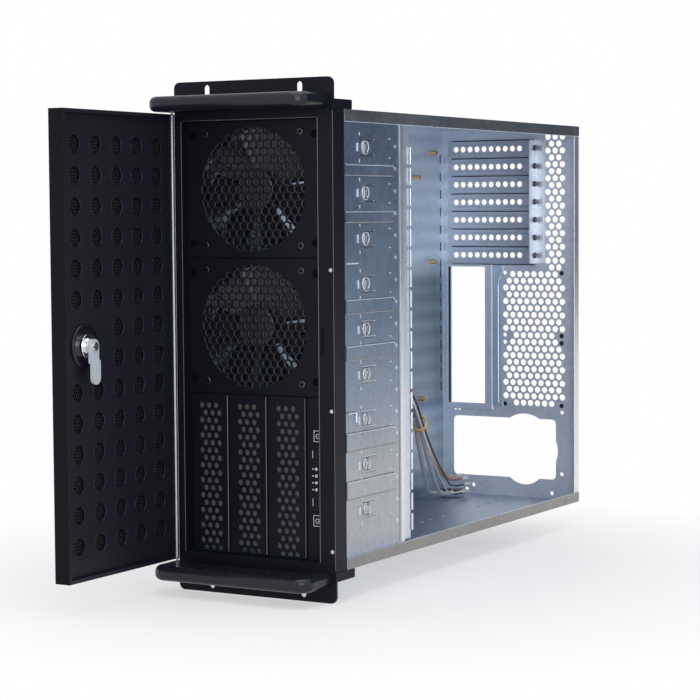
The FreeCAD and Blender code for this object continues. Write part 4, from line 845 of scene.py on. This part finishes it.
def rear_wall():
    """Zinc-coated wall with card slots, ports opening, vents, a pressed recess and the supply opening."""
    y = REAR_IN
    wall = block((SHEET, y, BODY_Z0 + SHEET), (CASE_HEIGHT - SHEET, BODY_END, BODY_Z1 - SHEET))
    carve(wall, cutters("y", y, vent_spots(), VENT_HOLE / 2, 18))
    carve(wall, cutters("y", y, rear_fan_holes(), 2.3, 16))
    carve(wall, outline_tool(IO_LOW, IO_HIGH, y))
    slots = [(0, 0, -SLOT_PITCH * i) for i in range(SLOT_COUNT)]
    half = 6.8
    carve(wall, spread(outline_tool((14, SLOT_FIRST_Z - half), (112, SLOT_FIRST_Z + half), y), slots))
    supply = soften(outline_tool(PSU_LOW, PSU_HIGH, y, 8.0), 5.0, 5)
    carve(wall, supply)
    for x, z, radius in ((106.5, PSU_LOW[1] + 19.5, 27.0), (106.5, PSU_HIGH[1] - 29.5, 35.0)):
        carve(wall, post((x, y - 4, z), (x, y + 4, z), radius, 64))
    carve(wall, post((119.0, y - 4, 84.5), (119.0, y + 4, 84.5), 29.5, 64))
    carve(wall, cutters("y", y, REAR_SMALL_HOLES, 2.2, 16))
    # Painted highlight: the lip along the open edge is in the lighter, glossier sheet.
    lip = block((CASE_HEIGHT - SHEET, y - 11, BODY_Z0 + 11), (CASE_HEIGHT, BODY_END, BODY_Z1 - 11))
    soften(lip, 0.4)
    take_on(lip, "rear_lip", HIGHLIGHT_STEEL, "galvanised_steel", "case")
    border = block((5.0, y - 1.5, 129.0), (66.0, y + 0.1, 298.8))
    soften(border, 0.8)
    carve(border, outline_tool(IO_LOW, IO_HIGH, y))
    wall = join([wall, border])
    take_on(wall, "rear_wall", REAR_STEEL, "galvanised_steel", "case", "rear_panel")


def recess_edge():
    """Rounded step of the pressed field between the ports opening and the vents, in a lighter copy of the
    sheet as painted highlight.
    """
    y = REAR_IN
    plate = soften(block((69.5, y - 1.6, 133.5), (80.0, y + 0.2, 297.0)), 1.0, 3)
    scoop = post((98.0, y - 6, 273.0), (98.0, y + 4, 273.0), 24.5, 64)
    column = block((73.5, y - 6, 138.5), (98.0, y + 4, 273.0))
    carve(plate, scoop)
    carve(plate, column)
    take_on(plate, "recess_step", RIM_STEEL, "galvanised_steel", "case")


def slot_blank(index):
    """Expansion bracket with ten round vents, a narrow end slit and its folded screw tab."""
    z = SLOT_FIRST_Z - SLOT_PITCH * index
    half = (SLOT_PITCH - 1.92) / 2
    y1 = REAR_IN
    blade = soften(block((SLOT_COVER_X0, y1 - 0.9, z - half), (SHELF_X, y1, z + half)), 0.25)
    carve(blade, cutters("y", y1, [(19.6 + 9.04 * i, z) for i in range(10)], 3.25, 20))
    carve(blade, block((12.0, y1 - 3, z - 3.6), (13.2, y1 + 3, z + 3.6)))
    rim = soften(block((16.0, y1 - 1.5, z + 4.9), (112.0, y1 - 0.8, z + 5.7)), 0.3)
    low = soften(block((16.0, y1 - 1.5, z - 5.7), (112.0, y1 - 0.8, z - 4.9)), 0.3)
    tab = soften(block((SHELF_X - 0.9, y1 - 12, z - half), (SHELF_X, y1, z + half)), 0.3)
    blank = join([blade, rim, low, tab])
    take_on(blank, "slot_blank_%d" % (index + 1), BLANK_STEEL, "galvanised_steel", "case",
            "slot_cover_%d" % (index + 1))


def slot_shadows():
    """Painted shade: dark strips in the tongue slots, under the slot blanks and along the ports opening's
    side, and dark discs in the unused screw holes; and a lighter copy of the sheet on the pressed field as
    painted highlight.
    """
    y = REAR_IN
    parts = [block((0.1, y - 7.2, 290), (0.6, y - 2.8, 440))]
    parts.extend(block((1.1, y - 6.4, 282 - 16.5 * i), (1.35, y - 4.2, 292 - 16.5 * i)) for i in range(9))
    for i in range(SLOT_COUNT + 1):
        z = SLOT_FIRST_Z + SLOT_PITCH * (0.5 - i)
        parts.append(block((14, y - 1.7, z - 0.9), (SHELF_X - 2, y - 0.9, z + 0.1)))
    parts.append(block((9.6, y - 1.8, IO_LOW[1]), (12.3, y - 1.6, IO_HIGH[1])))
    for x, z in rear_fan_holes():
        if x > 150 or z < 140:
            parts.append(post((x, y - 0.4, z), (x, y + 0.3, z), 2.6, 16))
    take_on(join(parts), "slot_shadows", GROOVE, "galvanised_steel", "case")
    field = soften(block((57.5, y - 0.3, 133.5), (77.8, y - 0.05, 296.0)), 0.1)
    take_on(field, "recess_field", RIM_STEEL, "galvanised_steel", "case")


# ---- door lining and lock ----
DOOR_PLATE_X = -4.5
DOOR_HOLE = 16.7
DOOR_FREE_Y = -171.4
DOOR_EDGE_Y = -3.0
DOOR_Z0 = BODY_Z0 + 1.0
DOOR_Z1 = BODY_Z1 - 1.0
LOCK_Y = -139.5
LEVER_REACH = 28.0


def door_spots():
    """Hole centres as (y, z), with room for the lock near the free edge."""
    pitch = (DOOR_Z1 - DOOR_Z0 - 62.0) / 13
    spots = []
    for row in range(14):
        for column in range(5):
            if row in (6, 7) and column >= 3:
                continue
            spots.append((-24.4 - 31.4 * column, CENTRE_Z + (6.5 - row) * pitch))
    return spots


def door_lining():
    """Inner door plate with round holes over the filter."""
    x = DOOR_PLATE_X
    low = (x - SHEET, DOOR_FREE_Y + SHEET, DOOR_Z0 + SHEET)
    plate = block(low, (x, DOOR_EDGE_Y - SHEET, DOOR_Z1 - SHEET))
    carve(plate, cutters("x", x, door_spots(), DOOR_HOLE / 2, 28))
    carve(plate, post((x - 4, LOCK_Y, CENTRE_Z), (x + 4, LOCK_Y, CENTRE_Z), 9.0, 32))
    soften(plate, 0.45, 2)
    take_on(plate, "door_lining", DOOR_COAT, "black_coat", "door", "door_plate")


def door_filter():
    """Coarse honeycomb filter seen in the holes, over a black cloth whose near-black colour is painted shade
    in the door's hollow, and a fine ring round each hole.
    """
    x = DOOR_PLATE_X - SHEET
    sheet = block((x - 3.0, DOOR_FREE_Y + 3.2, DOOR_Z0 + 3.2), (x - 2.3, DOOR_EDGE_Y - 3.2, DOOR_Z1 - 3.2))
    cells = []
    for y, z in door_spots():
        cells.extend(honeycomb(y, z, DOOR_HOLE / 2 + 0.4, 3.4))
    carve(sheet, cutters("x", x - 2.65, cells, 1.45, 6, 0, 2.0))
    cloth = block((x - 4.2, DOOR_FREE_Y + 3.2, DOOR_Z0 + 3.2), (x - 3.5, DOOR_EDGE_Y - 3.2, DOOR_Z1 - 3.2))
    clear_selection()
    bpy.ops.mesh.primitive_torus_add(location=at(x + 0.95, 0, 0), rotation=(0, math.pi / 2, 0),
                                     major_segments=28, minor_segments=8, major_radius=0.0084,
                                     minor_radius=0.0005)
    rims = spread(settle(bpy.context.object), [(0, y, z) for y, z in door_spots()])
    take_on(rims, "door_hole_rims", SATIN, "black_satin", "door")
    take_on(sheet, "door_filter", FILTER_EDGE, "dust_filter", "door", "door_mesh")
    take_on(cloth, "door_cloth", DARK_HOLE, "dust_filter", "door")


def lock_lever():
    """Broad cranked cam of the lock with round ends."""
    y = LOCK_Y
    z = CENTRE_Z
    end = z - LEVER_REACH
    parts = [
        post((5.0, y, z), (7.5, y, z), 6.6, 32),
        block((5.0, y - 6.4, z - 15.0), (7.5, y + 6.4, z)),
        block((6.8, y - 6.2, end), (9.3, y + 6.2, z - 12.5)),
        post((6.8, y, end), (9.3, y, end), 6.2, 32),
        post((-7.5, y, z), (5.2, y, z), 3.0, 24),
    ]
    lever = parts[0]
    for part in parts[1:]:
        carve(lever, part, "UNION")
    take_on(soften(lever, 0.5), "lock_lever", CAM_ZINC, "chrome", "cam", "lock_cam")


def shade_door_edge(door):
    """Gives the open door's far edge a darker, less glossy coat than its faces: painted shade."""
    door.data.materials.append(DOOR_EDGE)
    far = min(corner.co.y for corner in door.data.vertices)
    for face in door.data.polygons:
        if face.center.y < far + 0.0008:
            face.material_index = 1


def hinge_highlight():
    """Painted highlight on the crest of the door's rolled hinge edge."""
    roll = post((0.0, -4.2, DOOR_Z0 + 1), (0.0, -4.2, DOOR_Z1 - 1), 1.25, 16)
    take_on(roll, "hinge_highlight", ROLL, "black_coat", "door")


# ---- cage top ----
LATCH_PITCH = 42.3
LATCH_COUNT = 9
LATCH_OFFSET = 9.0
RIB_STATIONS = ((0.042, 0.094), (0.173, 0.226), (0.421, 0.463), (0.547, 0.589), (0.795, 0.828),
                (0.922, 0.955))


def latch_heights():
    """Heights of the latches from the top down."""
    half = (LATCH_COUNT - 1) / 2
    return [CENTRE_Z + LATCH_OFFSET + LATCH_PITCH * (half - i) for i in range(LATCH_COUNT)]


def latch_marks():
    """Lug and small lanced marks at each latch in painted highlight, and its spring ring."""
    rings = []
    lugs = []
    dents = []
    for z in latch_heights():
        x = CASE_HEIGHT + 0.75
        clear_selection()
        bpy.ops.mesh.primitive_torus_add(location=at(x - 0.2, 58.0, z), rotation=(0, math.pi / 2, 0),
                                         major_radius=0.0060, minor_radius=0.0009, major_segments=28,
                                         minor_segments=8)
        rings.append(settle(bpy.context.object))
        rings.append(soften(block((x - 1.3, 55.6, z - 4.6), (x + 0.3, 57.4, z + 4.6)), 0.5))
        for side in (-1, 1):
            middle = z + side * 7.2
            rings.append(block((x - 1.3, 50.3, middle - 0.3), (x - 0.6, 74.7, middle + 0.75)))
            rings.append(post((x - 0.8, 75.2, middle), (x - 0.2, 75.2, middle), 1.0, 12))
        lugs.append(soften(block((x - 1.2, 43.4, z - 4.0), (x + 0.35, 44.7, z + 4.0)), 0.3, 2))
        for side in (-1, 1):
            upright = z + side * 12.5
            level = z + side * 9.0
            dents.append(block((x - 1.2, 47.6, upright - 1.6), (x - 0.3, 48.8, upright + 1.6)))
            dents.append(block((x - 1.2, 104.0, level - 0.6), (x - 0.35, 107.5, level + 0.6)))
    take_on(join(rings), "spring_rings", ZINC, "galvanised_steel", "case")
    lugs.extend(soften(dent, 0.25, 2) for dent in dents)
    take_on(join(lugs), "latch_lug_highlights", HIGHLIGHT_STEEL, "galvanised_steel", "case")


def rib_lines():
    """Painted highlight along the upper edges and painted floor reflection along the lower edges of the cage
    cover's pressed ribs.
    """
    low = CENTRE_Z + LATCH_OFFSET - LATCH_PITCH * 4.06
    run = LATCH_PITCH * 8.06
    x = CASE_HEIGHT + 0.95
    bright = []
    warm = []
    for a, b in RIB_STATIONS:
        upper = low + run * b - 0.9
        lower = low + run * a + 0.9
        bright.append(post((x, 21, upper), (x, 110.5, upper), 0.62, 10))
        bright.append(post((x, 110.5, upper), (x, 113.3, upper - 3.2), 0.55, 10))
        warm.append(post((x, 21, lower), (x, 111, lower), 0.55, 10))
    take_on(join(bright), "rib_crest_highlights", HIGHLIGHT_ZINC, "galvanised_steel", "case")
    take_on(join(warm), "rib_foot_reflections", FLOOR_REFLECTION_ZINC, "galvanised_steel", "case")


# ---- cage rim and ledge ----
DASH_PITCH = 19.8
DASH_LENGTH = 16.6
RIM_MARK_PITCH = 21.1
RIM_MARKS = 18


def ledge_dashes():
    """Slotted ledge behind the rim, with its turned-up far edge in lengths of painted highlight, and its
    shelf in a lighter copy of the sheet as painted light.
    """
    z = BODY_Z0 + 20
    y = CAGE_DEPTH + 27.0
    strip = soften(block((171.4, y, z), (172.8, y + 1.8, z + DASH_LENGTH)), 0.35)
    count = int((BODY_WIDTH - 40) / DASH_PITCH)
    dashes = spread(strip, [(0, 0, DASH_PITCH * i) for i in range(count)])
    shelf = block((169.6, CAGE_DEPTH + 11.5, BODY_Z0 + END_MARGIN), (170.6, y + 0.2, BODY_Z1 - END_MARGIN))
    take_on(dashes, "ledge_dashes", HIGHLIGHT_STEEL, "galvanised_steel", "case")
    take_on(shelf, "ledge_shelf", SHELF_STEEL, "galvanised_steel", "case")


def rim_band():
    """Painted highlight on the crest of the rim, the thin joint before it and the round marks along the
    cage's rear strip.
    """
    x = CASE_HEIGHT
    y = CAGE_DEPTH
    low = BODY_Z0 + END_MARGIN
    high = BODY_Z1 - END_MARGIN
    crest = soften(block((x - 0.5, y + 2.2, low), (x + 0.35, y + 8.8, high)), 0.4, 3)
    take_on(crest, "rim_crest_highlight", HIGHLIGHT_STEEL, "galvanised_steel", "case")
    joint = block((x - 0.4, y - 0.4, low), (x + 0.25, y + 0.8, high))
    take_on(joint, "rim_joint", BLANK_STEEL, "galvanised_steel", "case")
    mark = post((x - 0.4, y - 6.8, BODY_Z0 + 34), (x + 0.5, y - 6.8, BODY_Z0 + 34), 1.9, 16)
    marks = spread(mark, [(0, 0, RIM_MARK_PITCH * i) for i in range(RIM_MARKS)])
    take_on(marks, "rim_marks", SHELF_STEEL, "galvanised_steel", "case")


# ---- tray ----
WALL_HOLE = 6.8
WALL_HOLES = ((97, 231.4), (96, 209.4), (95.5, 179.4), (96, 100.4), (95, 71.4), (95, 50.4), (84, 13.4))


def tray_holes(tray):
    """Opens up the small holes near the middle of the lower side wall."""
    for x, back in WALL_HOLES:
        y = REAR_IN - back
        carve(tray, post((x, y, BODY_Z0 - 3), (x, y, BODY_Z0 + 4), WALL_HOLE / 2, 20))


def edge_lips():
    """Folded open edges of the two side walls, from the front frame to the rear, in a darker sheet as painted
    shade, warmer at the lower side as a painted floor reflection, with a painted highlight line along each
    inner edge.
    """
    for name, low, high in (("lip_upper", BODY_Z1 - 11, BODY_Z1), ("lip_lower", BODY_Z0, BODY_Z0 + 11)):
        strip = soften(block((CASE_HEIGHT - 0.1, 20.2, low), (CASE_HEIGHT + 0.5, BODY_END - 0.3, high)),
                       0.4, 3)
        take_on(strip, name, LIP_STEEL, "galvanised_steel", "case")
        inner = low if name == "lip_upper" else high
        x = CASE_HEIGHT + 0.1
        # Painted highlight line along the lip's inner edge.
        crease_highlight = post((x, 21, inner), (x, BODY_END - 1, inner), 0.5, 10)
        take_on(crease_highlight, name + "_crease", HIGHLIGHT_ZINC, "galvanised_steel", "case")


# ---- control strip marks ----
POWER_SPOT = (151.5, 153.2)
RESET_SPOT = (150.5, 74.4)
LED_FIRST_Z = 122.6
LED_PITCH = 6.4
LED_COUNT = 4


def strip_marks():
    """Square frames with plain on and reset signs, and a dash by each small light."""
    y = RECESS_DEPTH - 0.12
    pieces = []
    for x, z in (POWER_SPOT, RESET_SPOT):
        border = block((x - 5.3, y, z - 5.3), (x + 5.3, y + 0.14, z + 5.3))
        carve(border, block((x - 4.7, y - 2, z - 4.7), (x + 4.7, y + 2, z + 4.7)))
        pieces.append(border)
    for i in range(LED_COUNT):
        z = LED_FIRST_Z - LED_PITCH * i
        pieces.append(block((144.2, y, z - 0.5), (146.2, y + 0.14, z + 0.5)))
    for x, z in ((151.9, 136.2), (151.5, 91.6)):
        pieces.append(block((144.6, y, z - 3.6), (145.2, y + 0.14, z + 3.6)))
    take_on(join(pieces), "strip_marks", ICON, "led_lens", "case")


def button_sign():
    """Ring and stroke on the power button's cap; a small ring on the reset button."""
    for button, spot in (("power", POWER_SPOT), ("reset", RESET_SPOT)):
        x, z = spot
        clear_selection()
        bpy.ops.mesh.primitive_torus_add(location=at(x, RECESS_DEPTH - 1.2, z), rotation=(math.pi / 2, 0, 0),
                                         major_radius=0.0021, minor_radius=0.00035, major_segments=24,
                                         minor_segments=6)
        ring = settle(bpy.context.object)
        stroke = block((x, RECESS_DEPTH - 1.5, z - 0.3), (x + 2.6, RECESS_DEPTH - 1.1, z + 0.3))
        take_on(join([ring, stroke]), button + "_sign", ICON, "led_lens", button + "_switch")


# ---- all the pieces in turn ----
REFINED = (
    ("front_frame", "front_frame_eased", COAT, "black_coat", "case", 0.6),
    ("ear_upper", "ear_upper_eased", COAT, "black_coat", "case", 0.5),
    ("ear_lower", "ear_lower_eased", COAT, "black_coat", "case", 0.5),
    ("door_skin", "door_skin_eased", DOOR_COAT, "black_coat", "door", 0.4),
    ("tray", "tray_eased", TRAY_STEEL, "galvanised_steel", "case", 0.3),
    ("cage_top", "cage_top_eased", CAGE_STEEL, "galvanised_steel", "case", 0.3),
    ("partition", "partition_eased", STEEL_SMOOTH, "galvanised_steel", "case", 0.3),
    ("lock_barrel", "lock_barrel_eased", CHROME, "chrome", "door", 0.5),
)

for entry in REFINED:
    eased = refined(*entry)
    if entry[0] == "tray":
        tray_holes(eased)
    if entry[0] == "door_skin":
        shade_door_edge(eased)
edge_lips()
lock_lever()
ledge_dashes()
rim_band()
slot_shadows()
rib_lines()
frame_edge_highlights()
plate_gaps()
bay_lit_backing()
hinge_highlight()
wide_blades("fan_rotor_upper", "rotor_upper_blades", "upper_rotor", UPPER_PLATE_Z0 + PLATE_HEIGHT / 2)
wide_blades("fan_rotor_lower", "rotor_lower_blades", "lower_rotor", LOWER_PLATE_Z0 + PLATE_HEIGHT / 2)
screw_sockets()
for node_name, low_z in (("fan_plate_upper", UPPER_PLATE_Z0), ("fan_plate_lower", LOWER_PLATE_Z0)):
    fan_plate(node_name, low_z)
for bay in range(3):
    bay_cover(bay)
rear_wall()
recess_edge()
for slot in range(SLOT_COUNT):
    slot_blank(slot)
door_lining()
door_filter()
latch_marks()
strip_marks()
button_sign()

bpy.context.scene.view_settings.view_transform = "Standard"
